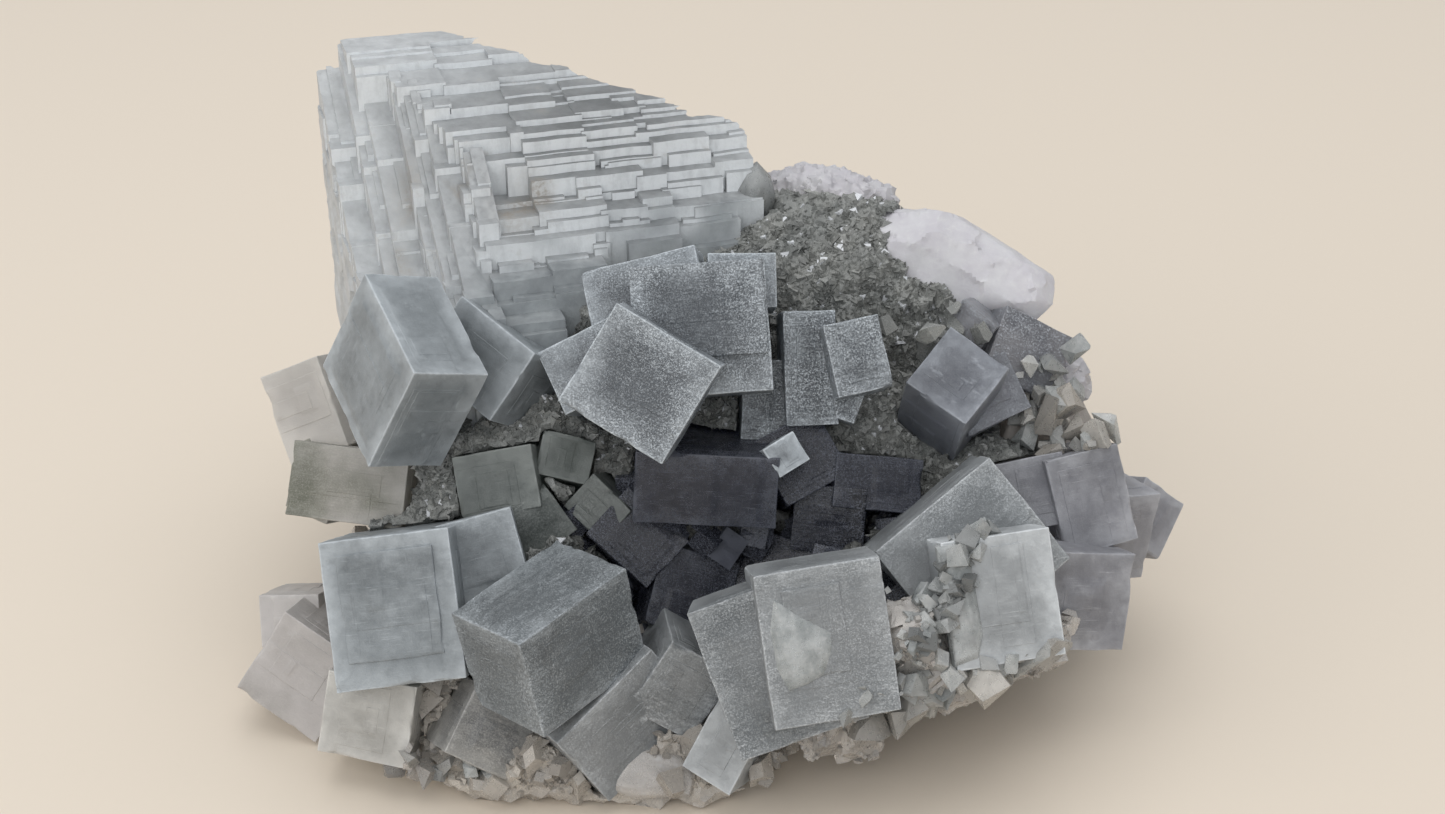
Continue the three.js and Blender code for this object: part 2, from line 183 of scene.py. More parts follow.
class CrystalSettings(bpy.types.PropertyGroup):
    edge_radius: length("Edge Radius", "Rounding of a crystal's edges", 0.12, 0.02)
    chip_size: length("Chip Size", "How far the worst chips eat into an edge", 0.6)
    layer_height: length("Growth Layer", "Height of the thin square layers on a crystal's faces", 0.035)
    ledge: length("Ledge", "Height of one ledge of the stepped crystal", 0.6, 0.2)


class DruseSettings(bpy.types.PropertyGroup):
    spacing: length("Spacing", "Mean distance between the tiny crystals of the crust", 0.5, 0.3)
    least: length("Least Crystal", "Edge of the smallest crystals of the crust", 0.42)
    most: length("Greatest Crystal", "Edge of the greatest crystals of the crust", 1.25)
    seed: IntProperty(name="Seed", description="Changes where the tiny crystals grow", default=4, min=0)


class FinishSettings(bpy.types.PropertyGroup):
    milky: colour("Milky", "Frosted risers of the stepped crystal", (0.84, 0.87, 0.885))
    frosted: colour("Frosted", "Pale blue-grey crystals", (0.29, 0.322, 0.342))
    clear: colour("Clear", "Clear plates over the hollow", (0.185, 0.205, 0.23))
    pale: colour("Pale", "Paler plates at the front right", (0.58, 0.605, 0.62))
    smoky: colour("Smoky", "Dark crystals in the hollow", (0.072, 0.077, 0.104))
    dusky: colour("Dusky", "Smoky crystals below the crest", (0.22, 0.235, 0.275))
    mauve: colour("Mauve", "Crystals at the right edge", (0.33, 0.33, 0.365))
    lilac: colour("Lilac", "Paler crystals at the left edge", (0.68, 0.65, 0.62))
    edge: colour("Edge", "Crystals at the far left, some of them grey-green", (0.85, 0.81, 0.77))
    olive: colour("Olive", "Grey-green crystals beside the hollow", (0.215, 0.245, 0.23))
    brown: colour("Brown", "Brownish crystals behind the edge", (0.60, 0.56, 0.52))
    cream: colour("Cream", "Cream-white crystals at the foot", (0.68, 0.665, 0.62))
    druse: colour("Druse", "Grey-brown crust of tiny crystals", (0.37, 0.375, 0.355))
    crust: colour("Crust", "Milky lumps along the crest", (0.82, 0.815, 0.84))
    broken: colour("Broken", "Cream cleaved rock", (0.76, 0.72, 0.67))
    chalky: colour("Chalky", "White broken patches on the crystals", (0.76, 0.785, 0.78))


class StageSettings(bpy.types.PropertyGroup):
    floor: colour("Floor", "Plain pale surface that the specimen rests on", (0.70, 0.62, 0.52))
    key_power: FloatProperty(
        name="Key Light", description="Power of the soft light overhead", default=3.5, min=0, unit="POWER"
    )
    sky: FloatProperty(name="Sky", description="Strength of the light from all round", default=0.62, min=0)


# Points and meshes


def metres(points):
    """From millimetres in the crystals' frame to the solids' frame."""
    return (np.asarray(points) - MIDDLE) * MM


def millimetres(points):
    """From the solids' frame to millimetres in the crystals' frame."""
    return points / MM + MIDDLE


def crystal_axes(turn):
    """Right, up and front of a crystal, as the columns of a matrix."""
    facing, lift, spin = (math.radians(angle) for angle in turn)
    front = np.array(
        [math.sin(facing) * math.cos(lift), -math.cos(facing) * math.cos(lift), math.sin(lift)]
    )
    level = np.array([math.cos(facing), math.sin(facing), 0.0])
    rise = np.cross(front, level)
    right = math.cos(spin) * level - math.sin(spin) * rise
    return np.stack([right, np.cross(front, right), front], axis=1)


def ripple(points, scale, seed, waves=7):
    """Smooth noise from -1 to 1 at each point, from a few crossed waves."""
    rng = np.random.default_rng(seed)
    total = np.zeros(len(points))
    for _ in range(waves):
        direction = rng.normal(size=3)
        direction /= np.linalg.norm(direction)
        phase = rng.uniform(0, 2 * math.pi)
        total += np.sin(points @ direction * rng.uniform(0.7, 1.7) * 2 * math.pi / scale + phase)
    return total / math.sqrt(waves)


def read(items, key, width=1, kind=np.float32):
    """One property of all vertices, faces or corners."""
    flat = np.empty(len(items) * width, kind)
    items.foreach_get(key, flat)
    return flat.reshape(-1, width) if width > 1 else flat


def points_of(mesh):
    return read(mesh.vertices, "co", 3).astype(float)


def normals_of(mesh):
    return read(mesh.vertex_normals, "vector", 3).astype(float)


def store_points(mesh, points):
    mesh.vertices.foreach_set("co", np.asarray(points, np.float32).ravel())
    mesh.update()


def store(mesh, name, values, domain="POINT"):
    """Numbers or vectors on a mesh, which a material or a node tree reads by name."""
    values = np.asarray(values, np.float32)
    kind, key = ("FLOAT", "value") if values.ndim == 1 else ("FLOAT_VECTOR", "vector")
    layer = mesh.attributes.get(name) or mesh.attributes.new(name, kind, domain)
    layer.data.foreach_set(key, values.ravel())


def add_object(name, data):
    item = bpy.data.objects.new(name, data)
    bpy.context.scene.collection.objects.link(item)
    return item


def mesh_object(name, points, faces):
    """A mesh object from points in millimetres in the crystals' frame."""
    mesh = bpy.data.meshes.new(name)
    mesh.from_pydata(metres(points).tolist(), [], faces)
    mesh.validate()
    return add_object(name, mesh)


@contextmanager
def opened(mesh, empty=False):
    """Opens a mesh for changes, or to fill it anew, and writes it back."""
    shape = bmesh.new()
    if not empty:
        shape.from_mesh(mesh)
    yield shape
    shape.to_mesh(mesh)
    shape.free()


def outward(item):
    """Turns every face of a closed mesh outwards."""
    with opened(item.data) as shape:
        bmesh.ops.remove_doubles(shape, verts=shape.verts, dist=SAME_POINT)
        bmesh.ops.recalc_face_normals(shape, faces=shape.faces)


def cut_by_plane(shape, place, normal, side):
    """Cuts a mesh along a plane, clears one side and closes the cut."""
    geometry = shape.verts[:] + shape.edges[:] + shape.faces[:]
    cut = bmesh.ops.bisect_plane(shape, geom=geometry, plane_co=place, plane_no=normal, **{side: True})
    rim = [edge for edge in cut["geom_cut"] if isinstance(edge, bmesh.types.BMEdge)]
    bmesh.ops.holes_fill(shape, edges=rim, sides=0)


def hull_of(shape, points):
    """Adds the hull of these points to a mesh, and gives the points that it uses."""
    made = [shape.verts.new(point) for point in points]
    hull = bmesh.ops.convex_hull(shape, input=made)
    spare = {part for key in ("geom_interior", "geom_unused") for part in hull[key]}
    spare = [part for part in spare if isinstance(part, bmesh.types.BMVert)]
    bmesh.ops.delete(shape, geom=spare, context="VERTS")
    return [vertex for vertex in made if vertex.is_valid]


def keep_largest(item):
    """Deletes the small loose bits that a cut leaves."""
    with opened(item.data) as shape:
        left, parts = set(shape.verts), []
        while left:
            front = [left.pop()]
            part = list(front)
            while front:
                front = [edge.other_vert(vertex) for vertex in front for edge in vertex.link_edges]
                front = [vertex for vertex in set(front) if vertex in left]
                left.difference_update(front)
                part += front
            parts.append(part)
        parts.sort(key=len)
        bmesh.ops.delete(shape, geom=[vertex for part in parts[:-1] for vertex in part], context="VERTS")


def baked(item):
    """Replaces an object's mesh with its evaluated result and drops its modifiers."""
    depsgraph = bpy.context.evaluated_depsgraph_get()
    mesh = bpy.data.meshes.new_from_object(item.evaluated_get(depsgraph))
    item.modifiers.clear()
    item.data = mesh
    return item


def remeshed(item, voxel):
    """Turns a closed mesh's faces outwards and divides it in even squares."""
    outward(item)
    even = item.modifiers.new("Even", "REMESH")
    even.mode = "VOXEL"
    even.voxel_size = voxel * MM
    return baked(item)


def cut_with(item, operation, others):
    """Joins, cuts or intersects a closed mesh with others, which are then deleted."""
    for other in others:
        step = item.modifiers.new(operation, "BOOLEAN")
        step.operation = operation
        step.solver = "MANIFOLD"
        step.object = other
    baked(item)
    for other in others:
        bpy.data.objects.remove(other)


def finish_piece(item, node, finish):
    """Gives a piece its material, and its place in the assembly."""
    item.data.materials.clear()
    item.data.materials.append(finish_material(finish))
    item.data.set_sharp_from_angle(angle=math.radians(SHARP_ANGLE))
    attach(item, "root")
    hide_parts(node)


# Crystals with growth layers

# Lines near a face's edge, in edge radii
EDGE_LINES = (0, 0.35, 0.8, 1.3, 2.2, 4.0)
# Distances in millimetres: between lines, the least between lines, and from a line to the cut beside it
FACE_CELL, LEAST_CELL, CUT_SIDE = 1.1, 0.025, 0.03
# Cuts across each axis where growth layers may end, and how near the edges they come, as a share of the size
LAYER_CUTS, CUT_REACH = 7, 0.42
# Share of a growth layer's sides that are open
OPEN_SIDES = 0.12
# Height of the slow waves in a face, in millimetres
FACE_WAVE = 0.035
# Distance between the lattices of neighbouring crystals, which keeps their patterns apart
LATTICE_GAP = 23.7
# Widest edge that a crystal's finish can mark, and what a terrace's foot counts as
RIM_REACH, TERRACE_RIM = 4, 0.3


def grid_lines(size, radius, cuts):
    """Lines across a face: close together at its edges and beside each cut, and evenly spaced between."""
    half = size / 2
    near = np.array(EDGE_LINES) * radius
    lines = [-half + near, half - near, np.linspace(-half, half, max(3, round(size / FACE_CELL)))[1:-1]]
    merged = np.sort(np.concatenate(lines + [cuts - CUT_SIDE, cuts + CUT_SIDE]))
    keep = [merged[0]]
    for value in merged[1:]:
        if value - keep[-1] > LEAST_CELL:
            keep.append(value)
    keep[-1] = half
    return np.array(keep)


def layer_field(rng, across, along, cuts_across, cuts_along, height):
    """Height of the square growth layers on one face, nested round a growth centre, some open at a side."""
    field = np.zeros((len(across), len(along)))
    last = len(cuts_across) - 1
    for layer in range(last // 2):
        closed = rng.uniform(size=4) > OPEN_SIDES
        inside = ~((across < cuts_across[layer]) & closed[0])
        inside &= ~((across > cuts_across[last - layer]) & closed[1])
        beside = ~((along < cuts_along[layer]) & closed[2])
        beside &= ~((along > cuts_along[last - layer]) & closed[3])
        field += np.outer(inside, beside) * height * rng.uniform(0.5, 1.4)
    return field


def crystal_shell(one, settings, seed):
    """Points and faces of one crystal: a box with rounded, chipped edges and growth layers on its faces."""
    rng = np.random.default_rng(seed)
    radius = settings.edge_radius / MM
    layer_height = settings.layer_height / MM
    half = np.array(one.size) / 2
    cuts = [np.sort(rng.uniform(-CUT_REACH, CUT_REACH, LAYER_CUTS)) * size for size in one.size]
    lines = [grid_lines(size, radius, cut) for size, cut in zip(one.size, cuts)]
    points, lifts, faces, base = [], [], [], 0
    for axis in range(3):
        across, along = (axis + 1) % 3, (axis + 2) % 3
        for side in (-1, 1):
            rows, columns = len(lines[across]), len(lines[along])
            u, v = np.meshgrid(lines[across], lines[along], indexing="ij")
            place = np.empty((rows, columns, 3))
            place[..., axis] = side * half[axis]
            place[..., across] = u
            place[..., along] = v
            field = layer_field(rng, lines[across], lines[along], cuts[across], cuts[along], layer_height)
            edge = np.minimum(half[across] - np.abs(u), half[along] - np.abs(v))
            field *= np.clip((edge - 1.5 * radius) / (2 * radius), 0, 1)
            lift = np.zeros_like(place)
            lift[..., axis] = side * field
            points.append(place.reshape(-1, 3))
            lifts.append(lift.reshape(-1, 3))
            index = base + np.arange(rows * columns).reshape(rows, columns)
            quads = np.stack([index[:-1, :-1], index[1:, :-1], index[1:, 1:], index[:-1, 1:]], -1)
            faces.append(quads.reshape(-1, 4)[:, ::side])
            base += rows * columns
    points, lifts, faces = np.concatenate(points), np.concatenate(lifts), np.concatenate(faces)
    _, first, place_of = np.unique(np.round(points, 4), axis=0, return_index=True, return_inverse=True)
    faces = place_of.reshape(-1)[faces]
    points, lifts = points[first], lifts[first]
    chip = np.clip(ripple(points, 5.5, seed + 1) - 0.55, 0, 1)
    chip += np.clip(ripple(points, 1.9, seed + 2) - 1.1, 0, 1)
    reach = radius + chip[:, None] * settings.chip_size / MM
    inner = np.clip(points, reach - half, half - reach)
    away = points - inner
    away /= np.maximum(np.linalg.norm(away, axis=1, keepdims=True), 1e-9)
    points = inner + away * reach + lifts
    wave = np.stack([ripple(points, 9, seed + 3 + axis) for axis in range(3)], 1)
    points += FACE_WAVE * wave - np.array([0, 0, half[2]])
    return points @ crystal_axes(one.turn).T + np.array(one.at), faces


def with_terraces(crystals):
    """The crystals, with each raised terrace as a thin plate of its own."""
    whole = []
    for one in crystals:
        whole.append(one)
        if one.terrace:
            left, bottom, right, top = one.terrace
            width, height, depth = one.size
            offset = (((left + right) / 2 - 0.5) * width, ((bottom + top) / 2 - 0.5) * height, one.rise)
            size = ((right - left) * width, (top - bottom) * height, depth / 2)
            at = np.array(one.at) + crystal_axes(one.turn) @ np.array(offset)
            whole.append(Crystal(tuple(at), size, one.turn, one.tone))
    return whole


def insets(points, one):
    """How far inside a crystal's three pairs of faces the points lie, the least first."""
    half = np.array(one.size) / 2
    local = (points - np.array(one.at)) @ crystal_axes(one.turn) + np.array([0, 0, half[2]])
    return np.sort(half - np.abs(local), axis=1)


def mark_crystals(mesh, crystals):
    """Gives each face corner its place in its crystal's lattice, and its distance from the nearest edge."""
    middles = millimetres(read(mesh.polygons, "center", 3))
    corners = millimetres(points_of(mesh))[read(mesh.loops, "vertex_index", kind=np.int32)]
    misses = []
    for one in crystals:
        inset = insets(middles, one)
        misses.append(np.abs(inset[:, 0]) + 4 * np.clip(-inset[:, 1], 0, None))
    owner = np.argmin(misses, axis=0)
    corner_owner = np.repeat(owner, read(mesh.polygons, "loop_total", kind=np.int32))
    lattice, rim = np.zeros((len(corners), 3)), np.zeros(len(corners))
    for number, one in enumerate(crystals):
        mine = corner_owner == number
        lattice[mine] = (corners[mine] - np.array(one.at)) @ crystal_axes(one.turn) + LATTICE_GAP * number
        edge = insets(corners[mine], one)[:, 1]
        if number and crystals[number - 1].terrace:
            edge = np.maximum(insets(corners[mine], crystals[number - 1])[:, 1], TERRACE_RIM)
        rim[mine] = np.clip(edge, 0, RIM_REACH)
    store(mesh, "lattice", lattice, "CORNER")
    store(mesh, "rim", rim, "CORNER")
    store(mesh, "tone", np.array([one.tone for one in crystals])[owner], "FACE")


def grow_cluster(context, node, crystals, finish, seed):
    """One closed mesh from crystals that grew into one another, cut off at the floor."""
    whole = with_terraces(crystals)
    shells = []
    for number, one in enumerate(whole):
        points, faces = crystal_shell(one, context.scene.fluorite_crystals, seed * 100 + number * 7)
        shells.append(mesh_object(f"{node}_{number}", points, faces.tolist()))
    main = shells[0]
    cut_with(main, "UNION", shells[1:])
    main.name = node + "_crystals"
    if points_of(main.data)[:, 2].min() < 0:
        with opened(main.data) as shape:
            cut_by_plane(shape, (0, 0, 0), (0, 0, 1), "clear_inner")
    mark_crystals(main.data, whole)
    finish_piece(main, node, finish)


# Materials

FLUORITE_IOR = 1.434


class Nodes:
    """Builds a node tree, whose inputs are numbers, colours or the outputs of other nodes."""

    def __init__(self, tree):
        self.tree = tree

    def add(self, kind, values=None, **properties):
        """A node with its properties set, and its inputs set or linked by name or number."""
        made = self.tree.nodes.new(kind)
        for key, value in properties.items():
            setattr(made, key, value)
        for key, value in (values or {}).items():
            if isinstance(value, bpy.types.NodeSocket):
                self.tree.links.new(value, made.inputs[key])
            else:
                made.inputs[key].default_value = value
        return made

    def math(self, operation, first, second, clamp=False):
        values = {0: first, 1: second}
        return self.add("ShaderNodeMath", values, operation=operation, use_clamp=clamp).outputs[0]

    def plus(self, first, second, clamp=False):
        return self.math("ADD", first, second, clamp)

    def minus(self, first, second):
        return self.math("SUBTRACT", first, second)

    def times(self, first, second):
        return self.math("MULTIPLY", first, second)

    def most(self, first, second):
        return self.math("MAXIMUM", first, second)

    def ramp(self, value, low, high, start=0.0, end=1.0):
        """Goes smoothly from start to end as value goes from low to high."""
        values = {"Value": value, "From Min": low, "From Max": high, "To Min": start, "To Max": end}
        return self.add("ShaderNodeMapRange", values, interpolation_type="SMOOTHSTEP").outputs["Result"]

    def blend(self, share, *colours):
        """Mixes two colours."""
        first, second = (part if isinstance(part, bpy.types.NodeSocket) else (*part, 1) for part in colours)
        return self.add("ShaderNodeMix", {"Factor": share, 6: first, 7: second}, data_type="RGBA").outputs[2]

    def grain(self, per_mm, detail=3.0, roughness=0.55, stretch=None, place=None):
        """Noise from 0 to 1 with this many blotches in each millimetre."""
        place = self.place if place is None else place
        if stretch:
            place = self.add("ShaderNodeMapping", {"Vector": place, "Scale": stretch}).outputs[0]
        values = {"Vector": place, "Scale": per_mm, "Detail": detail, "Roughness": roughness}
        return self.add("ShaderNodeTexNoise", values).outputs["Fac"]

    def attribute(self, name, output="Fac"):
        return self.add("ShaderNodeAttribute", attribute_name=name).outputs[output]

    def crystal(self, tint, rough, through, height, strength, depth, absorbed=None, density=0.0):
        """A see-through surface with fine relief, and what the crystal absorbs on the way through."""
        relief = self.add("ShaderNodeBump", {"Height": height, "Strength": strength, "Distance": depth * MM})
        values = {"Base Color": tint, "Roughness": rough, "Transmission Weight": through}
        values.update({"IOR": FLUORITE_IOR, "Normal": relief.outputs[0]})
        surface = self.add("ShaderNodeBsdfPrincipled", values)
        output = self.add("ShaderNodeOutputMaterial", {"Surface": surface.outputs[0]})
        if density:
            values = {"Color": (*absorbed, 1), "Density": density}
            volume = self.add("ShaderNodeVolumeAbsorption", values)
            self.tree.links.new(volume.outputs[0], output.inputs["Volume"])

    def random(self, low, high, seed):
        """A random number or vector between two others, for each point."""
        first, output, kind = (0, 0, "FLOAT_VECTOR") if isinstance(low, tuple) else (2, 1, "FLOAT")
        values = {first: low, first + 1: high, "Seed": seed}
        return self.add("FunctionNodeRandomValue", values, data_type=kind).outputs[output]


def new_material(name):
    """An empty material and the maker of its nodes, which knows the place on the object in millimetres."""
    material = bpy.data.materials.new("fluorite_" + name)
    material.use_nodes = True
    nodes = Nodes(material.node_tree)
    nodes.tree.nodes.clear()
    place = nodes.add("ShaderNodeTexCoord").outputs["Object"]
    nodes.place = nodes.add("ShaderNodeVectorMath", {0: place, "Scale": 1000.0}, operation="SCALE").outputs[0]
    return material, nodes


# How each finish looks: other is its second colour, clarity is how much light goes through the bare crystal,
# polish its roughness, frost, rim and dust the strength of its cloudy patches, pale edges and fine specks, a
# pale edge being a painted glow towards the edge and a frosted line along it, pale the colour of what is
# frosted, density what it absorbs in each metre, and reach the width of the painted edge glow.
Finish = namedtuple("Finish", "other clarity polish frost rim dust pale density reach", defaults=(3.6,))
FINISHES = {
    "frosted": Finish((0.125, 0.135, 0.14), 0.4, 0.34, 0.5, 0.75, 0.95, (0.56, 0.602, 0.63), 40, 4.2),
    "clear": Finish((0.10, 0.11, 0.12), 0.55, 0.3, 0.4, 1.0, 1.35, (0.61, 0.66, 0.695), 60, 5.4),
    "pale": Finish((0.175, 0.192, 0.203), 0.5, 0.32, 0.45, 0.75, 0.7, (0.69, 0.72, 0.735), 50, 4.6),
    "smoky": Finish((0.010, 0.011, 0.018), 0.6, 0.2, 0.2, 0.32, 1.0, (0.28, 0.30, 0.36), 200),
    "dusky": Finish((0.34, 0.33, 0.345), 0.5, 0.3, 0.4, 0.45, 1.6, (0.47, 0.50, 0.54), 90),
    "mauve": Finish((0.25, 0.255, 0.285), 0.42, 0.34, 0.7, 0.45, 0.45, (0.585, 0.595, 0.62), 60),
    "lilac": Finish((0.50, 0.475, 0.47), 0.3, 0.4, 0.6, 0.4, 0.3, (0.72, 0.69, 0.67), 30),
    "edge": Finish((0.15, 0.155, 0.115), 0.35, 0.4, 0.25, 0.4, 0.5, (0.66, 0.645, 0.59), 40),
    "olive": Finish((0.13, 0.14, 0.13), 0.5, 0.3, 0.5, 0.4, 1.0, (0.40, 0.42, 0.405), 110),
    "brown": Finish((0.46, 0.42, 0.38), 0.45, 0.34, 0.5, 0.45, 0.4, (0.66, 0.62, 0.58), 50),
    "cream": Finish((0.14, 0.145, 0.15), 0.35, 0.3, 0.5, 0.5, 0.5, (0.80, 0.785, 0.745), 30),
}
# Each kind of rock: its second colour, roughness, clarity, grains in a millimetre and brightness in the deep,
# which is painted shade in the hollow and the darkness of the darkest stones
Rock = namedtuple("Rock", "other gloss through per_mm shadow")
ROCKS = {
    "druse": Rock((0.27, 0.28, 0.27), 0.1, 0.3, 1.8, 0.2),
    "crust": Rock((0.72, 0.70, 0.745), 0.3, 0.35, 0.9, 0.2),
    "broken": Rock((0.62, 0.59, 0.56), 0.16, 0.4, 1.1, 0.4),
    "chalky": Rock((0.40, 0.43, 0.43), 0.2, 0.4, 1.3, 0.25),
}


def shade(tint, share):
    return tuple(part * share for part in tint)


def crystal_material(name, body):
    """Frosted fluorite: cloudy see-through faces with a painted edge glow, dust and growth lines."""
    look = FINISHES[name]
    material, nodes = new_material(name)
    local = nodes.attribute("lattice", "Vector")
    rim = nodes.attribute("rim")
    tone = nodes.attribute("tone")
    clouds = nodes.ramp(nodes.grain(0.2, 5.0, 0.62), 0.32, 0.68)
    broad = nodes.ramp(nodes.grain(0.09, 3.0, 0.5), 0.35, 0.65)
    mottle = nodes.grain(0.9, 4.0, 0.65)
    fine = nodes.grain(6.0, 3.0, 0.8)
    uneven = nodes.times(nodes.grain(0.5, 4.0, 0.6), 1.8)
    # Painted glow: each face whitens smoothly towards its edges, standing in for light through the crystal
    painted_glow = nodes.ramp(nodes.plus(rim, uneven), 0.4, look.reach, look.rim * 0.5, 0.0)
    ragged = nodes.minus(rim, nodes.times(nodes.grain(1.6), 0.3))
    line = nodes.ramp(ragged, -0.05, 0.16, look.rim * 0.75, 0.0)
    powder = nodes.minus(nodes.ramp(fine, 0.43, 0.66), 0.38)
    dusty = nodes.ramp(nodes.grain(0.14, 3.0, 0.6), 0.35, 0.6, 0.5, 1.0)
    strength = nodes.times(dusty, nodes.ramp(tone, 0.2, 1.0, look.dust * 0.75, look.dust * 0.12))
    streaks = nodes.minus(nodes.grain(1.3, 4.0, 0.75, (0.35, 2.2, 1.0), local), 0.5)
    streaks = nodes.times(streaks, nodes.ramp(tone, 0.0, 0.8, look.dust * 0.95, look.dust * 0.16))
    lines = nodes.ramp(nodes.grain(1.1, 3.0, 0.7, (0.25, 6.0, 1.0), local), 0.56, 0.72, 0.0, 0.34)
    cross_lines = nodes.ramp(nodes.grain(1.1, 3.0, 0.7, (6.0, 0.25, 1.0), local), 0.60, 0.72, 0.0, 0.2)
    marks = nodes.most(lines, cross_lines)
    cover = nodes.most(nodes.most(painted_glow, line), marks)
    cover = nodes.plus(cover, nodes.times(clouds, look.frost * 0.45))
    cover = nodes.plus(cover, nodes.times(nodes.minus(mottle, 0.35), 0.5))
    cover = nodes.times(cover, nodes.ramp(tone, 0.0, 1.0, 0.62, 1.0))
    cover = nodes.plus(nodes.plus(cover, streaks), nodes.times(powder, strength), clamp=True)
    deep = nodes.blend(broad, shade(body, 0.62), nodes.blend(tone, look.other, body))
    tint = nodes.blend(cover, deep, look.pale)
    rough = nodes.ramp(cover, 0.0, 0.8, look.polish, 0.6)
    through = nodes.ramp(cover, 0.0, 0.9, look.clarity, 0.08)
    height = nodes.plus(nodes.plus(mottle, marks), nodes.plus(fine, streaks))
    absorbed = tuple(0.5 + 0.45 * part / max(body) for part in body)
    nodes.crystal(tint, rough, through, height, 0.3, 0.15, absorbed, look.density)
    return material


def stepped_material(body):
    """Milky stepped crystal: frosted risers, and painted shade on its clearer tops, most in the middle, and
    its grey foot.
    """
    material, nodes = new_material("stepped")
    clouds = nodes.ramp(nodes.grain(0.3, 5.0, 0.6), 0.3, 0.7)
    fine = nodes.grain(1.4, 5.0, 0.7)
    streaks = nodes.ramp(nodes.grain(0.9, 4.0, 0.65, (1.0, 1.0, 0.22)), 0.42, 0.68, 0.0, 0.14)
    # Painted shade: the tops get a darker colour than the risers, most in the middle, though the tops are
    # also clearer
    level = nodes.minus(0.52, nodes.times(nodes.attribute("shade"), 0.46))
    level = nodes.plus(level, nodes.times(clouds, 0.14))
    cover = nodes.most(nodes.minus(nodes.attribute("riser"), streaks), level)
    cover = nodes.plus(cover, nodes.times(nodes.minus(fine, 0.5), 0.34), clamp=True)
    tint = nodes.blend(cover, shade(body, 0.2), body)
    stain = nodes.ramp(nodes.grain(0.3, 6.0, 0.7), 0.56, 0.74, 0.0, 0.36)
    tint = nodes.blend(stain, tint, (0.50, 0.47, 0.42))
    brown = nodes.times(nodes.attribute("stain"), nodes.ramp(fine, 0.38, 0.62, 0.35, 1.0))
    tint = nodes.blend(nodes.times(brown, 0.75), tint, (0.34, 0.295, 0.24))
    # Painted shade: the grey foot at the front
    foot = nodes.ramp(nodes.attribute("low"), 0.0, 1.0, 0.0, 0.8)
    tint = nodes.blend(foot, tint, nodes.blend(clouds, (0.20, 0.22, 0.235), (0.36, 0.39, 0.40)))
    through = nodes.ramp(cover, 0.0, 1.0, 0.55, 0.06)
    rough = nodes.ramp(cover, 0.0, 1.0, 0.34, 0.6)
    nodes.crystal(tint, rough, through, fine, 0.35, 0.2, (0.82, 0.89, 0.93), 30)
    return material


def rock_material(name, body):
    """Broken rock or crust: two colours in blotches, grains, painted glints, and painted shade where it is
    deep.
    """
    look = ROCKS[name]
    material, nodes = new_material(name)
    tone = nodes.attribute("tone")
    blotch = nodes.ramp(nodes.grain(0.22, 6.0, 0.65), 0.35, 0.65)
    grains = nodes.grain(look.per_mm, 4.0, 0.65)
    tint = nodes.blend(blotch, body, look.other)
    bright = tuple(min(0.9, part) for part in shade(body, 1.5))
    tint = nodes.blend(nodes.ramp(grains, 0.5, 0.78, 0.0, 0.6), tint, bright)
    cream = nodes.blend(blotch, (0.70, 0.65, 0.58), (0.52, 0.48, 0.43))
    tint = nodes.blend(nodes.attribute("warm"), tint, cream)
    # Low tone darkens: painted shade deep in the hollow, and darker stones in the heaps
    tint = nodes.blend(tone, shade(body, look.shadow), tint)
    # Tone above 1 paints a white glint
    tint = nodes.blend(nodes.ramp(tone, 1.05, 1.4), tint, (0.85, 0.87, 0.9))
    rough = nodes.ramp(grains, 0.3, 0.7, look.gloss, look.gloss + 0.3)
    nodes.crystal(tint, rough, look.through, grains, 0.35, 0.2)
    return material


def finish_material(name):
    """The material of a finish, made when it's first asked for."""
    made = bpy.data.materials.get("fluorite_" + name)
    if made:
        return made
    colours = bpy.context.scene.fluorite_finishes
    if name == "stepped":
        return stepped_material(tuple(colours.milky))
    make = rock_material if name in ROCKS else crystal_material
    return make(name, tuple(getattr(colours, name)))


# Stepped crystal. Heights are measured from its foot, across runs to the right of the brow's middle and
# forward runs towards the viewer, all in millimetres.
STEP_AT = np.array((-18.9, 17.5, 24))
STEP_FACING = 17
BANDS = (-27.4, -22.8, -17.6, -12.4, -6.8, -3, 0.2, 2.6, 5.3, 8.4, 11.2, 14.6, 18.4, 22.6)
STEP_LEFT, STEP_RIGHT = -23.6, 23.0
TILE_BREAKS = (-10.1, -3.4, 4, 12)
NOTCH_LEFT, NOTCH_RIGHT = TILE_BREAKS[:2]
NOTCH_TOP = 26.8
TILE_LEDGE = 0.6
RIDGE_HEIGHT = 36
STEP_TOP = 37.8
RIDGE_LINES = (((-7.6, -28), (12.6, -5.4)), ((11, -2.2), (25, 4.4)))
RIDGE_ACROSS, RIDGE_FORWARD = (-7.6, 12.6, 25), (-28, -5.4, 4.4)
REACH_ACROSS = (-26, -20, -14, -11.5, -4.4, 1.2, 6.4, 18.8, 25)
REACH_FORWARD = (2, 12, 20, 21.5, 18, 13, 11.5, 10, 8)
# Heights of the left side and of the top at the brow's middle, and how much the side climbs in each
# millimetre across. Then how much the side, the top behind the brow and the steps before it fall in each
# millimetre forward, and how fast the side and the top close in on each other behind the brow and before it.
SIDE_HEIGHT, BROW_HEIGHT, SIDE_CLIMB = 46.3, 33.3, 1.315
SIDE_FALL, TOP_FALL, STEP_FALL = 0.68, 0.22, 0.8
CLOSING_BEHIND, CLOSING_BEFORE = 0.46, 0.12
# Width of a cell of the steps, what its height is rounded to, how far tiles overlap, and how much lower a
# tile lies under the ribs of the left side
CELL, CELL_RISE = 0.4, 0.15
LAP, UNDER_RIBS = 0.3, 2.2
TILE_SEED, STEP_SEED, RIB_SEED = 7, 21, 33
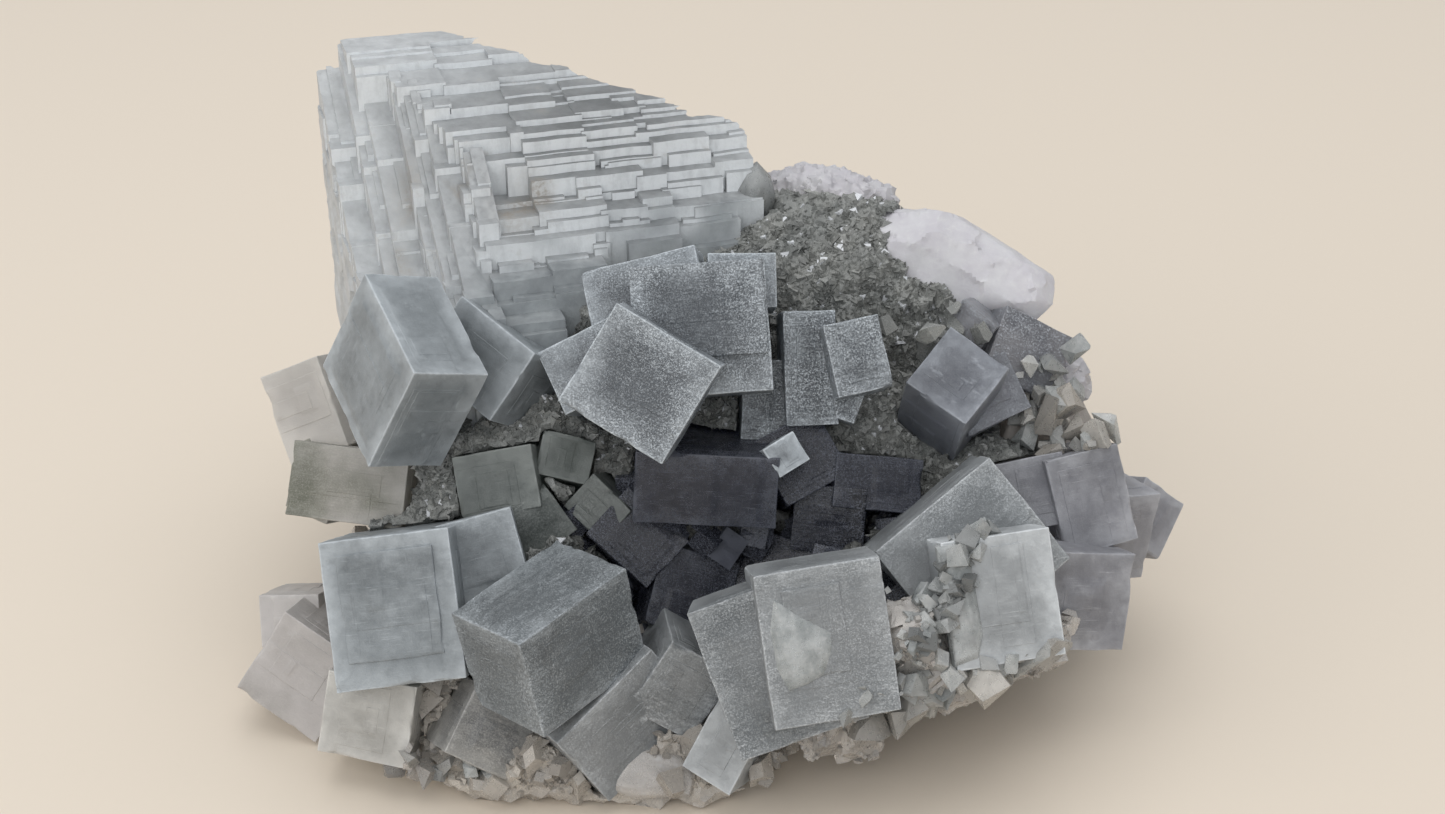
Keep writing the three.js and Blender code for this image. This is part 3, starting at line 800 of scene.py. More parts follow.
# Brownish stains, as across, forward and size
STAINS = (
    (-4.3, 5.8, 2.2),
    (-6.8, 6.8, 1.6),
    (-2.4, 5.4, 1.2),
    (-19.5, 1, 1.3),
    (-15.9, -3.4, 1.5),
    (-11, 2, 1.0),
)


def side_height(across, forward):
    """The steep left side."""
    return SIDE_HEIGHT + SIDE_CLIMB * across - SIDE_FALL * forward


def front_height(forward):
    """The nearly level top, and the steps before its brow."""
    return BROW_HEIGHT - forward * np.where(np.asarray(forward) < 0, TOP_FALL, STEP_FALL)


def front_reach(across):
    """How far forward the crystal reaches."""
    return np.interp(across, REACH_ACROSS, REACH_FORWARD)


def step_place(points):
    """Moves points from across, height and forward to the crystals' frame."""
    turn = math.radians(STEP_FACING)
    right = (math.cos(turn), math.sin(turn), 0)
    front = (math.sin(turn), -math.cos(turn), 0)
    return STEP_AT + np.asarray(points) @ np.stack([right, (0, 0, 1), front])


def random_stream(seed):
    """The same repeatable numbers from 0 to 1 as the solids use."""
    state = seed
    while True:
        state = (state * 1664525 + 1013904223) % 4294967296
        yield state / 4294967296


def step_tiles():
    """The main tiles, each as left, right, rear, fore and top, and whether it's on the left side."""
    random = random_stream(TILE_SEED)
    tiles = []
    for rear, fore in zip(BANDS, BANDS[1:]):
        left = STEP_LEFT
        while left < STEP_RIGHT - 0.5:
            steep = side_height(left + 1.5, fore) < front_height(max(0, fore)) + 1
            least, most = (3.4, 5) if steep else (5, 11.5)
            right = min(STEP_RIGHT, left + least + (most - least) * next(random))
            for place in TILE_BREAKS:
                if left < place - 0.5 and right > place:
                    right = place
            middle = (left + right) / 2
            place = left + 0.6 if steep else middle
            top = min(front_height(fore), side_height(place, fore)) + (next(random) - 0.5) * 1.1
            jog = 1.5 * (next(random) - 0.4)
            if left >= NOTCH_LEFT and right <= NOTCH_RIGHT and rear >= 2.6 and fore <= 8.5:
                top = min(top, NOTCH_TOP)
            top = math.floor(top / TILE_LEDGE + 0.5) * TILE_LEDGE
            if fore <= front_reach(middle) + 1.5 and top > 2:
                tiles.append((left, right, rear, fore + jog, top, steep))
            left = right
    return tiles


def without_crossings(field):
    """Raises cells so that no two high cells meet at a corner alone, where the mesh would pinch."""
    for _ in range(8):
        a, b, c, d = field[:-1, :-1], field[1:, :-1], field[:-1, 1:], field[1:, 1:]
        crossed = (np.minimum(a, d) > np.maximum(b, c)) | (np.minimum(b, c) > np.maximum(a, d))
        for i, j in np.argwhere(crossed):
            block = field[i : i + 2, j : j + 2]
            block[np.unravel_index(np.argmin(block), (2, 2))] = np.sort(block.ravel())[2]
    return field


def step_field(ledge):
    """Grid lines across and forward, and the height of each cell, with thin ledges along the steps."""
    rng = np.random.default_rng(STEP_SEED)
    tiles = step_tiles()
    across = np.arange(STEP_LEFT - LAP, STEP_RIGHT + 0.5, CELL)
    forward = np.arange(BANDS[0] - LAP, BANDS[-1] + 1.3, CELL)
    middle_across = (across[1:] + across[:-1]) / 2
    middle_forward = (forward[1:] + forward[:-1]) / 2
    field = np.zeros((len(middle_across), len(middle_forward)))

    def raise_to(left, right, rear, fore, top):
        columns = (middle_across > left) & (middle_across < right)
        where = np.outer(columns, (middle_forward > rear) & (middle_forward < fore))
        field[where] = np.maximum(field[where], top)

    for left, right, rear, fore, top, steep in tiles:
        if rear < 0 and not steep:
            give = 0.1 if rear < np.interp((left + right) / 2, RIDGE_ACROSS, RIDGE_FORWARD) + 3 else 0.45
            top = min(max(top, front_height(fore) - give), front_height(fore) + give / 2)
        raise_to(left - LAP, right + LAP, rear - LAP, fore, top - UNDER_RIBS * steep)
    level, slope = front_height(middle_forward), side_height(middle_across[:, None], middle_forward)
    under = np.round((level - 0.9) / TILE_LEDGE) * TILE_LEDGE * np.ones_like(field)
    behind = (field > 0) & (slope > level - 0.8) & (middle_forward < 0)
    field[behind] = np.maximum(field, under)[behind]
    for left, right, rear, fore, top, steep in tiles:
        width, depth = right - left, fore - rear
        if steep or (left >= NOTCH_LEFT and right <= NOTCH_RIGHT and fore < 5):
            continue
        for drop in rng.uniform(0.7, 2.4, rng.integers(1, 3)):
            start = left + rng.choice([0, 0, rng.uniform(0.1, 0.5)]) * width - LAP
            end = left + rng.choice([1, 1, rng.uniform(0.6, 0.95)]) * width + LAP
            raise_to(start, end, rear, fore + (0.3 + 0.4 * drop), top - drop)
        if 3 - 0.9 * (24 - left) < rear < 0 and rng.uniform() < 0.6:
            end = rear + depth * rng.uniform(0.3, 0.8)
            raise_to(left - LAP, right + LAP, rear - 0.4, end, top + ledge / 2)
    for fore in BANDS[6:11]:
        for _ in range(2):
            start = rng.uniform(-9, 16)
            height = front_height(fore) - rng.uniform(0.6, 2.6)
            if side_height(start, fore) > height and fore < front_reach(start + 4):
                raise_to(start, start + rng.uniform(4, 13), fore - 1, fore + rng.uniform(0.4, 1.3), height)
    field = np.minimum(np.round(field / CELL_RISE) * CELL_RISE, STEP_TOP)
    field[field < 1] = 0
    return across, forward, without_crossings(field)


def side_ribs():
    """The long sloping ribs on the steep side: across, height and forward of eight corners each."""
    rng = np.random.default_rng(RIB_SEED)
    ribs = []

    def add(left, right, rear, fore, *tops):
        low = rng.uniform(0.3, 0.9)
        rear_top, fore_top = (min(top, STEP_TOP - 0.2) for top in tops)
        ring = ((low, rear), (rear_top, rear), (fore_top, fore), (low, fore))
        ribs.append([(place, *corner) for place in (left, right) for corner in ring])

    rib = STEP_LEFT
    while rib < 4:
        rib_end = rib + rng.choice([1.1, 1.5, 2.0, 2.8]) * rng.uniform(0.9, 1.1)
        reach = front_reach(rib) + 1
        rear = BANDS[0] - 0.2
        while rear < reach:
            fore = min(reach, rear + rng.uniform(2.5, 9))
            shift = rng.uniform(-1.1, 0.5)
            above = side_height(rib + 0.6, 0) + shift - front_height(0) - 0.1
            start = max(rear, above / CLOSING_BEHIND)
            tip = min(fore + rng.uniform(0, 0.7), -above / CLOSING_BEFORE)
            tops = [side_height(rib + 0.6, place) + shift for place in (start, tip)]
            if tip - start > 1 and tops[1] > 2:
                add(rib, rib_end + 0.3, start, tip, *tops)
                if rng.uniform() < 0.8:
                    depth = min(rng.uniform(0.7, 2.6), tip - start)
                    end_top = tops[1] + SIDE_FALL * depth * rng.uniform(0.5, 0.95)
                    left = rib - rng.uniform(0, 0.3)
                    add(left, rib_end, tip - depth, tip + rng.uniform(0.1, 0.8), end_top, end_top)
                if rng.uniform() < 0.3:
                    narrow = rib + (rib_end - rib) * rng.uniform(0.3, 0.7)
                    low_tip = tip - rng.uniform(0, 0.4) * (tip - start)
                    low_top = tops[0] + (tops[1] - tops[0]) * (low_tip - start) / (tip - start)
                    add(narrow, rib_end + 0.3, start, low_tip, tops[0] + 0.4, low_top + rng.uniform(0.2, 0.9))
            rear = fore
        rib = rib_end
    return ribs


RIB_FACES = ((0, 1, 2, 3), (7, 6, 5, 4), (0, 4, 5, 1), (1, 5, 6, 2), (2, 6, 7, 3), (3, 7, 4, 0))
# Where a cell's neighbour lies, and the start and end of the edge between them, going round the cell
CELL_SIDES = (
    ((1, 0), (1, 0), (1, 1)),
    ((-1, 0), (0, 1), (0, 0)),
    ((0, 1), (1, 1), (0, 1)),
    ((0, -1), (0, 0), (1, 0)),
)


def step_mesh(ledge):
    """Points and faces of the stepped crystal, closed."""
    across, forward, field = step_field(ledge)
    padded = np.pad(field, 1)
    index, points = {}, []

    def corner(i, j, height):
        key = (i, j, round(height, 3))
        if key not in index:
            index[key] = len(points)
            points.append((across[i], height, forward[j]))
        return index[key]

    def levels(i, j, low, high):
        """Heights of the cells round a corner line, strictly between two heights."""
        near = {round(float(value), 3) for value in padded[i : i + 2, j : j + 2].ravel()}
        return sorted(value for value in near if low + 1e-6 < value < high - 1e-6)

    faces = []
    for i, j in np.argwhere(field > 0).tolist():
        top = round(float(field[i, j]), 3)
        around = ((i, j), (i, j + 1), (i + 1, j + 1), (i + 1, j))
        faces.append([corner(*place, top) for place in around])
        faces.append([corner(*place, 0) for place in (around[0], *around[:0:-1])])
        for (beside, before), *ends in CELL_SIDES:
            start, end = ((i + right, j + fore) for right, fore in ends)
            low = round(float(padded[i + 1 + beside, j + 1 + before]), 3)
            if low < top:
                ring = [corner(*start, top), corner(*end, top)]
                ring += [corner(*end, value) for value in reversed(levels(*end, low, top))]
                ring += [corner(*end, low), corner(*start, low)]
                ring += [corner(*start, value) for value in levels(*start, low, top)]
                faces.append(ring)
    return points, faces


def cleave(points, normals, size, reach, tilt, seed, lattice=None):
    """Breaks a surface into flat facets about this many millimetres across, along a lattice if given."""
    rng = np.random.default_rng(seed)
    placed = points / MM
    count = max(8, int(len(points) * 0.5 / (size * size)))
    chosen = rng.choice(len(points), min(count, len(points)), replace=False)
    planes = normals[chosen] + rng.normal(size=(len(chosen), 3)) * tilt
    planes /= np.linalg.norm(planes, axis=1, keepdims=True)
    if lattice is not None:
        steps = (-1, 0, 1)
        signs = np.array([(a, b, c) for a in steps for b in steps for c in steps])
        signs = signs[np.isin(np.abs(signs).sum(axis=1), (1, 3))]
        signs = signs / np.linalg.norm(signs, axis=1, keepdims=True) @ crystal_axes(lattice).T
        planes = signs[np.argmax(planes @ signs.T, axis=1)]
    near = KDTree(len(chosen))
    for number, point in enumerate(placed[chosen]):
        near.insert(point, number)
    near.balance()
    owner = np.array([near.find(point)[1] for point in placed])
    shift = np.einsum("ij,ij->i", placed[chosen][owner] - placed, planes[owner])
    return points + planes[owner] * np.clip(shift, -reach, reach)[:, None] * MM


def rough_block(name, low, high, cuts, size, reach, seed, lattice=None):
    """A big block in the stepped crystal's frame, cut by planes and cleaved all over."""
    mesh = bpy.data.meshes.new(name)
    with opened(mesh, empty=True) as shape:
        for number in range(8):
            shape.verts.new([high[axis] if number >> axis & 1 else low[axis] for axis in range(3)])
        bmesh.ops.convex_hull(shape, input=shape.verts)
        for place, normal in cuts:
            cut_by_plane(shape, place, normal, "clear_outer")
    store_points(mesh, metres(step_place(points_of(mesh))))
    item = remeshed(add_object(name, mesh), 0.8)
    normals = normals_of(item.data)
    points = cleave(points_of(item.data), normals, size, reach, 0.14, seed, lattice)
    store_points(item.data, points + normals * (ripple(points / MM, 2.4, seed + 1) * 0.08 * MM)[:, None])
    return item


def behind_ridge():
    """Everything behind the slanting ridge, to cut away from the stepped crystal."""
    lean = math.radians(22)
    cuts = []
    for (left, rear), (right, fore) in RIDGE_LINES:
        run = np.array([right - left, fore - rear]) / math.hypot(right - left, fore - rear)
        kept = (-run[1] * math.cos(lean), -math.sin(lean), run[0] * math.cos(lean))
        cuts.append(((left, RIDGE_HEIGHT, rear), kept))
    return rough_block("behind", (-27, -2, -32), (28, 46, 27), cuts, 4.5, 0.9, 27, (STEP_FACING, 0, 0))


def hidden_sides():
    """A block that the stepped crystal fills, with broken left, rear and lower sides."""
    return rough_block("sides", (STEP_LEFT - 0.2, 0.2, BANDS[0] - 0.1), (36, 50, 36), (), 5.0, 0.9, 29)


def mark_steps(mesh):
    """Marks the risers, the painted shade of the clear middle and of the grey foot, and the stains of the
    stepped crystal.
    """
    turn = math.radians(STEP_FACING)
    normals = read(mesh.polygons, "normal", 3)
    towards = normals @ np.array([math.sin(turn), -math.cos(turn), 0])
    # Part frost and part painted shade: flat tops 0, risers that face aside 0.5, risers that face forward 1
    riser = np.where(np.abs(normals[:, 2]) > 0.9, 0.0, np.where(towards > 0.85, 1.0, 0.5))
    store(mesh, "riser", riser, "FACE")
    local = millimetres(points_of(mesh)) - STEP_AT
    over = local[:, 0] * math.cos(turn) + local[:, 1] * math.sin(turn)
    fore = local[:, 0] * math.sin(turn) - local[:, 1] * math.cos(turn)
    # Painted shade at the low front foot
    low = (fore - 9.2 + 0.16 * np.clip(over, 0, 12) + 1.5 * ripple(local, 7, 28)) / 5
    store(mesh, "low", np.clip(low * np.clip((over + 15) / 4, 0, 1), 0, 1))
    stain = sum(np.exp(-((over - a) ** 2 + (fore - f) ** 2) / size**2) for a, f, size in STAINS)
    store(mesh, "stain", np.clip(stain, 0, 1))
    # Painted shade on the tops, most in the middle
    store(mesh, "shade", np.exp(-(((over - 6) / 17) ** 2) - ((fore + 2) / 15) ** 2))


class FLUORITE_OT_stepped(bpy.types.Operator):
    """Large crystal at the back left, a stepped pyramid of thin growth ledges"""

    bl_idname = "fluorite.stepped"
    bl_label = "Stepped Crystal"

    def execute(self, context):
        points, faces = step_mesh(context.scene.fluorite_crystals.ledge / MM)
        placed = step_place(points)
        wobble = np.stack([ripple(placed, 5.5, 70 + axis) for axis in range(3)], 1) * 0.03
        item = mesh_object("stepped_crystal_ledges", placed + wobble, faces)
        ribs = []
        for number, corners in enumerate(side_ribs()):
            ribs.append(mesh_object(f"rib_{number}", step_place(corners), RIB_FACES))
        for part in (item, *ribs):
            outward(part)
        cut_with(ribs[0], "UNION", ribs[1:])
        cut_with(item, "UNION", ribs[:1])
        cut_with(item, "DIFFERENCE", [behind_ridge()])
        cut_with(item, "INTERSECT", [hidden_sides()])
        keep_largest(item)
        if len(item.data.vertices) < 1000:
            raise RuntimeError("the stepped crystal's back wasn't cut")
        mark_steps(item.data)
        finish_piece(item, "stepped_crystal", "stepped")
        return {"FINISHED"}


# Rock

ROCK_NODES = ("matrix", "broken_ledge", "crest_crust", "ridge_crust", "right_crust")
# Spacing, least edge and greatest edge of what grows on the rock
CUBE_SIZES = (1.9 * MM, 1.4 * MM, 4.8 * MM)
SHARD_SIZES = (1.7 * MM, 1.0 * MM, 5.0 * MM)
LEDGE_SIZES = (2.0 * MM, 0.8 * MM, 3.4 * MM)
# The dark hollow, the height that the cream foot reaches, the bare height at the floor, where the crust thins
# towards the back, and the left side that the rock is drawn in to
HOLLOW_MIDDLE, HOLLOW_SIZE = np.array([6, -17, 20]), np.array([20, 12, 16])
FOOT_TOP, BARE_FOOT, BACK_FROM, LEFT_SIDE = 17, 2.5, 14, -38


def solid_copy(node, voxel, filled=False):
    """A copy of a solid in even squares. A filled one has the dips between its lumps filled."""
    item = add_object(node + "_surface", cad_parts[node].data.copy())
    if filled:
        points = [vertex.co.copy() for vertex in item.data.vertices]
        with opened(item.data, empty=True) as shape:
            hull_of(shape, points)
    return remeshed(item, voxel)


def solids_near(left_out=()):
    """A tree to measure how far a point is from the solids."""
    corners, faces = [], []
    for name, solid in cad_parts.items():
        if name not in left_out:
            base = len(corners)
            corners += [vertex.co.copy() for vertex in solid.data.vertices]
            faces += [[base + number for number in face.vertices] for face in solid.data.polygons]
    return BVHTree.FromPolygons(corners, faces)


# What grows on rock: its greatest lean, its least side, how deep it sinks in, and its form
Growth = namedtuple("Growth", "lean least_side sink form sizes")
GROWTHS = {
    "corner": Growth(
        0.35, 0.9, -0.12, "Cone", {"Vertices": 3, "Radius Top": 0.0, "Radius Bottom": 0.816, "Depth": 0.577}
    ),
    "cube": Growth(0.7, 0.7, -0.1, "Cube", {"Size": (1.0, 1.0, 1.0)}),
    "shard": Growth(
        0.8, 0.35, -0.2, "Cone", {"Vertices": 4, "Radius Top": 0.32, "Radius Bottom": 0.6, "Depth": 0.6}
    ),
}
SCATTER_SIZES = ("Spacing", "Least", "Most")
TONE_SEED = 77


def scatter_tree(shape, material):
    """Node tree that grows small crystals on a surface: corners of cubes, whole cubes or broken shards."""
    growth = GROWTHS[shape]
    nodes = Nodes(bpy.data.node_groups.new(shape, "GeometryNodeTree"))
    inputs = {"Geometry": "Geometry", **dict.fromkeys(SCATTER_SIZES, "Float"), "Seed": "Int"}
    for name, kind in inputs.items():
        nodes.tree.interface.new_socket(name, in_out="INPUT", socket_type="NodeSocket" + kind)
    nodes.tree.interface.new_socket("Geometry", in_out="OUTPUT", socket_type="NodeSocketGeometry")
    given = nodes.add("NodeGroupInput").outputs
    spacing, seed = given["Spacing"], given["Seed"]
    share = nodes.add("GeometryNodeInputNamedAttribute", {"Name": "grow"}, data_type="FLOAT").outputs[0]
    values = {"Mesh": given["Geometry"], "Density Factor": share, "Seed": seed}
    values["Distance Min"] = nodes.times(spacing, 0.45)
    values["Density Max"] = nodes.math("DIVIDE", 1.6, nodes.times(spacing, spacing))
    spots = nodes.add("GeometryNodeDistributePointsOnFaces", values, distribute_method="POISSON").outputs
    turn = nodes.random((-growth.lean, -growth.lean, 0.0), (growth.lean, growth.lean, 6.28), seed)
    values = {"Rotation": spots["Rotation"], "Rotate By": turn}
    turned = nodes.add("FunctionNodeRotateRotation", values, rotation_space="LOCAL").outputs[0]
    rare = nodes.math("POWER", nodes.random(0.0, 1.0, seed), 2.5)
    values = {"Value": rare, "To Min": given["Least"], "To Max": given["Most"]}
    size = nodes.add("ShaderNodeMapRange", values).outputs["Result"]
    sides = nodes.random((growth.least_side,) * 3, (1.0, 1.0, 1.0), seed)
    scale = nodes.add("ShaderNodeVectorMath", {0: sides, "Scale": size}, operation="SCALE").outputs[0]
    grown = nodes.add("GeometryNodeMesh" + growth.form, growth.sizes)
    values = {"Geometry": grown.outputs["Mesh"], "Translation": (0.0, 0.0, growth.sink)}
    sunk = nodes.add("GeometryNodeTransform", values).outputs[0]
    values = {"Points": spots["Points"], "Instance": sunk, "Rotation": turned, "Scale": scale}
    placed = nodes.add("GeometryNodeInstanceOnPoints", values).outputs[0]
    values = {"Geometry": placed, "Name": "tone", "Value": nodes.random(0.0, 1.0, TONE_SEED)}
    marked = nodes.add("GeometryNodeStoreNamedAttribute", values, data_type="FLOAT", domain="INSTANCE")
    real = nodes.add("GeometryNodeRealizeInstances", {0: marked.outputs[0]})
    coated = nodes.add("GeometryNodeSetMaterial", {"Geometry": real.outputs[0], "Material": material})
    nodes.add("NodeGroupOutput", {0: coated.outputs[0]})
    return nodes.tree


def scatter(base, name, shape, share, sizes, seed, finish):
    """Small crystals on part of a surface. sizes are the spacing, least edge and greatest edge."""
    item = add_object(name, base.data.copy())
    store(item.data, "grow", share)
    grown = item.modifiers.new("Grown", "NODES")
    grown.node_group = scatter_tree(shape, finish_material(finish))
    values = dict(zip(SCATTER_SIZES, sizes), Seed=seed)
    for socket in grown.node_group.interface.items_tree:
        if socket.in_out == "INPUT" and socket.name in values:
            grown[socket.identifier] = values[socket.name]
    return baked(item)


def own_tones(mesh):
    """The tone that each small crystal got when it was grown."""
    return read(mesh.attributes["tone"].data, "value").astype(float)


def foot_warmth(points):
    """How cream the rock is: much at the foot in front, none on the druzy top and in the hollow."""
    placed = millimetres(points)
    low = np.clip((FOOT_TOP - placed[:, 2] + 2 * ripple(placed, 9, 35)) / 6, 0, 1)
    return low * np.clip((-8 - placed[:, 1]) / 10, 0.35, 1)


def hollow_shade(points):
    """Painted shade: dark deep in the hollow, light elsewhere."""
    offset = (millimetres(points) - HOLLOW_MIDDLE) / HOLLOW_SIZE
    return np.clip((np.linalg.norm(offset, axis=1) - 0.35) / 0.9, 0, 1)


def broken_surface(rock):
    """The matrix, cleaved and rough where it is bare: its points, how bare each is, and how far away."""
    points, normals = points_of(rock.data), normals_of(rock.data)
    crystals = solids_near(ROCK_NODES)
    away = np.array([crystals.find_nearest(Vector(point))[3] for point in points]) / MM
    bare = np.clip((away - 0.45) / 0.8, 0, 1)
    points = cleave(points, normals, 3.2, 0.9, 0.5, 31) * bare[:, None] + points * (1 - bare[:, None])
    rough = ripple(points / MM, 3.1, 33) * 0.28 + ripple(points / MM, 1.5, 34) * 0.14
    points = points + normals * (rough * bare * MM)[:, None]
    placed = millimetres(points)
    beside = np.clip((-3 - placed[:, 1]) / 4, 0, 1) * np.clip((placed[:, 2] - 9) / 3, 0, 1)
    points[:, 0] += beside * np.maximum(0, LEFT_SIDE - placed[:, 0]) * 0.95 * MM
    points[:, 2] = np.maximum(points[:, 2], 0)
    return points, bare, away


class FLUORITE_OT_matrix(bpy.types.Operator):
    """Broken rock under the crystals, with its crust of tiny crystals, small cubes and shards"""

    bl_idname = "fluorite.matrix"
    bl_label = "Matrix and Druse"

    def execute(self, context):
        settings = context.scene.fluorite_druse
        rock = solid_copy("matrix", 0.75)
        points, bare, away = broken_surface(rock)
        store_points(rock.data, points)
        # The rock's tone is painted shade, dark deep in the hollow
        tone, warm = hollow_shade(points), foot_warmth(points)
        store(rock.data, "tone", tone)
        store(rock.data, "warm", warm)
        above = points[:, 2] > BARE_FOOT * MM
        front = points[:, 1] / MM + MIDDLE[1] < BACK_FROM
        crust = bare * above * (1 - 0.7 * warm) * np.where(front, 1, 0.45)
        deep = np.clip(away / 1.5, 0, 1) * above * np.clip((1 - tone) * 2 - 0.1, 0, 1)
        crust_sizes = (settings.spacing, settings.least, settings.most)
        seed = settings.seed
        druse = scatter(rock, "druse_crystals", "corner", crust, crust_sizes, seed, "druse")
        cubes = scatter(rock, "small_cubes", "cube", deep, CUBE_SIZES, seed + 1, "smoky")
        shards = scatter(rock, "foot_shards", "shard", above * warm * front, SHARD_SIZES, seed + 2, "broken")
        for item, finish in ((rock, "druse"), (druse, "druse"), (cubes, "smoky"), (shards, "broken")):
            points = points_of(item.data)
            points[:, 2] = np.maximum(points[:, 2], 0)
            store_points(item.data, points)
            if item is druse:
                tones = own_tones(item.data)
                # A few crystals get a painted glint, and all get painted shade deep in the hollow
                glint = 1.0 * (tones > 0.965)
                store(item.data, "warm", foot_warmth(points))
                store(item.data, "tone", hollow_shade(points) * (0.6 + 0.4 * tones) + glint)
            elif item is shards:
                store(item.data, "tone", 0.4 + 0.6 * own_tones(item.data))
            finish_piece(item, "matrix", finish)
        return {"FINISHED"}


# How the cleavage planes of the ledge are turned, as a crystal's facing, lift and spin
LEDGE_LATTICE = (12, 20, 35)


class FLUORITE_OT_ledge(bpy.types.Operator):
    """Cream cleaved rock that hangs over the surface at the front right"""

    bl_idname = "fluorite.ledge"
    bl_label = "Broken Ledge"

    def execute(self, context):
        rock = solid_copy("broken_ledge", 0.4)
        for size, reach, seed in ((6.5, 2.0, 41), (2.6, 0.8, 43)):
            points, normals = points_of(rock.data), normals_of(rock.data)
            points = cleave(points, normals, size, reach, 0.25, seed, LEDGE_LATTICE)
            points[:, 2] = np.maximum(points[:, 2], 0)
            store_points(rock.data, points)
        store(rock.data, "tone", np.clip(0.85 + 0.35 * ripple(points / MM, 3, 44), 0, 1))
        share = np.clip(ripple(points / MM, 7, 46) + 0.5, 0, 1) * (points[:, 2] > 2 * MM)
        seed = context.scene.fluorite_druse.seed + 3
        shards = scatter(rock, "ledge_shards", "shard", share, LEDGE_SIZES, seed, "broken")
        store(shards.data, "tone", 0.4 + 0.6 * own_tones(shards.data))
        for item in (rock, shards):
            finish_piece(item, "broken_ledge", "broken")
        return {"FINISHED"}


# Each lump of crust: its node, the size, reach and tilt of its facets, its roughness and its tone
CRUSTS = (
    ("crest_crust", 7.5, 0.5, 0.03, 0.02, 1.0),
    ("ridge_crust", 2.6, 0.6, 0.35, 0.14, 0.85),
    ("right_crust", 2.4, 0.6, 0.35, 0.14, 0.85),
)


class FLUORITE_OT_crusts(bpy.types.Operator):
    """Smooth slab and ragged lumps of milky crust along the crest"""

    bl_idname = "fluorite.crusts"
    bl_label = "Milky Crust"

    def execute(self, context):
        for number, (node, size, reach, tilt, rough, tone) in enumerate(CRUSTS):
            lump = solid_copy(node, 0.4, node == "crest_crust")
            normals = normals_of(lump.data)
            points = cleave(points_of(lump.data), normals, size, reach, tilt, 51 + number)
            wave = ripple(points / MM, 2.6, 61 + number) + 0.5 * ripple(points / MM, 1.1, 65 + number)
            store_points(lump.data, points + normals * (wave * rough * MM)[:, None])
            store(lump.data, "tone", np.full(len(points), tone))
            finish_piece(lump, node, "crust")
        return {"FINISHED"}


# Each heap of stones lies along a line. sizes are the least and greatest stone, tones the darkest and palest.
Heap = namedtuple("Heap", "name node finish start end spread count sizes tones warm seed")
HEAPS = (
    Heap(
        "rim_rubble", "rim_plates", "chalky",
        (22.4, -33.6, 22.5), (28.8, -26.8, 32.2), 0.9, 60, (0.8, 3.4), (0.1, 1.0), 0.15, 71,
    ),
    Heap(
        "rim_crumbs", "rim_plates", "chalky",
        (20.6, -36.4, 19.6), (25.8, -33, 28.6), 1.3, 110, (0.7, 3.0), (0.0, 1.0), 0.15, 76,
    ),
    Heap(
        "plate_rubble", "broken_ledge", "chalky",
        (13.5, -38.2, 17), (33, -32.6, 18), 1.0, 80, (0.8, 3.6), (0.4, 1.0), 0.4, 72,
    ),
    Heap(
        "ledge_blocks", "broken_ledge", "chalky",
        (15, -37, 12), (35, -32, 19), 1.0, 28, (2.4, 6.5), (0.5, 1.0), 0.55, 77,
    ),
    Heap(
        "foot_blocks", "matrix", "chalky",
        (-31, -34, 5), (-22, -33, 4), 1.0, 16, (1.6, 5), (0.4, 1.0), 0.45, 78,
    ),
    Heap(
        "foot_rubble", "matrix", "broken",
        (-33, -32.5, 4), (7.5, -31.5, 4.5), 1.0, 80, (1.2, 5), (0.1, 1.0), 0.2, 73,
    ),
    Heap(
        "crest_stones", "smoky_cubes", "druse",
        (20.5, -3.6, 42), (29, -2.4, 40.5), 1.0, 16, (1.8, 4.6), (0.3, 1.0), 0.0, 74,
    ),
    Heap(
        "edge_stones", "brown_cubes", "chalky",
        (38, -3.2, 35.2), (40.2, -6.6, 30), 1.9, 64, (1.6, 5.4), (0.5, 1.0), 0.7, 75,
    ),
)
# A flake lies on a crystal's face. outline is across and up from the face's middle.
Flake = namedtuple("Flake", "name node finish at turn rise tones seed outline")
FLAKES = (
    Flake(
        "plate_fracture", "front_plates", "chalky",
        FRONT_PLATES[0].at, FRONT_PLATES[0].turn, 0.7, (0.8, 1.04), 81,
        (
            (-4.9, 5.6), (-2.3, 3.7), (0.6, 1.2), (0.5, -0.7), (-0.6, -3.2),
            (-2.6, -4.0), (-4.7, -4.4), (-5.7, -1.8), (-5.8, 2.4),
        ),
    ),
    Flake(
        "rim_fracture", "rim_plates", "chalky", RIM_PLATES[1].at, RIM_PLATES[1].turn, 0.7, (0.4, 1.0), 83,
        ((-6.2, -6.6), (-3.4, -6.2), (-2.6, -3.4), (-3.4, 0.6), (-2.8, 4), (-3.8, 6.9), (-6.4, 6.4)),
    ),
    Flake(
        "end_crystal", "matrix", "chalky", (5.4, 18.4, 49.3), (6, 24, 0), 2.4, (0.15, 0.45), 84,
        ((-2.4, -3.2), (-2.6, 0.4), (-1.6, 2.8), (0.2, 3.7), (1.8, 1.9), (2.5, -1.4), (1.2, -3.6)),
    ),
    Flake(
        "foot_slab", "ridge_cubes", "broken", (-6.8, -34.2, 4.6), (2, 40, 4), 0.8, (0.5, 1.0), 82,
        ((-5.8, -2.2), (-4.6, 0.8), (-0.8, 2.4), (3.6, 1.4), (5.4, -0.8), (4.8, -2.8), (-1, -3.4)),
    ),
)
STONE_CORNERS = 14
# How far from a solid a stone may stand, as a share of its size
STONE_GAP = 0.35
FLAKE_RINGS = (0.97, 0.85, 0.65, 0.4, 0.15)


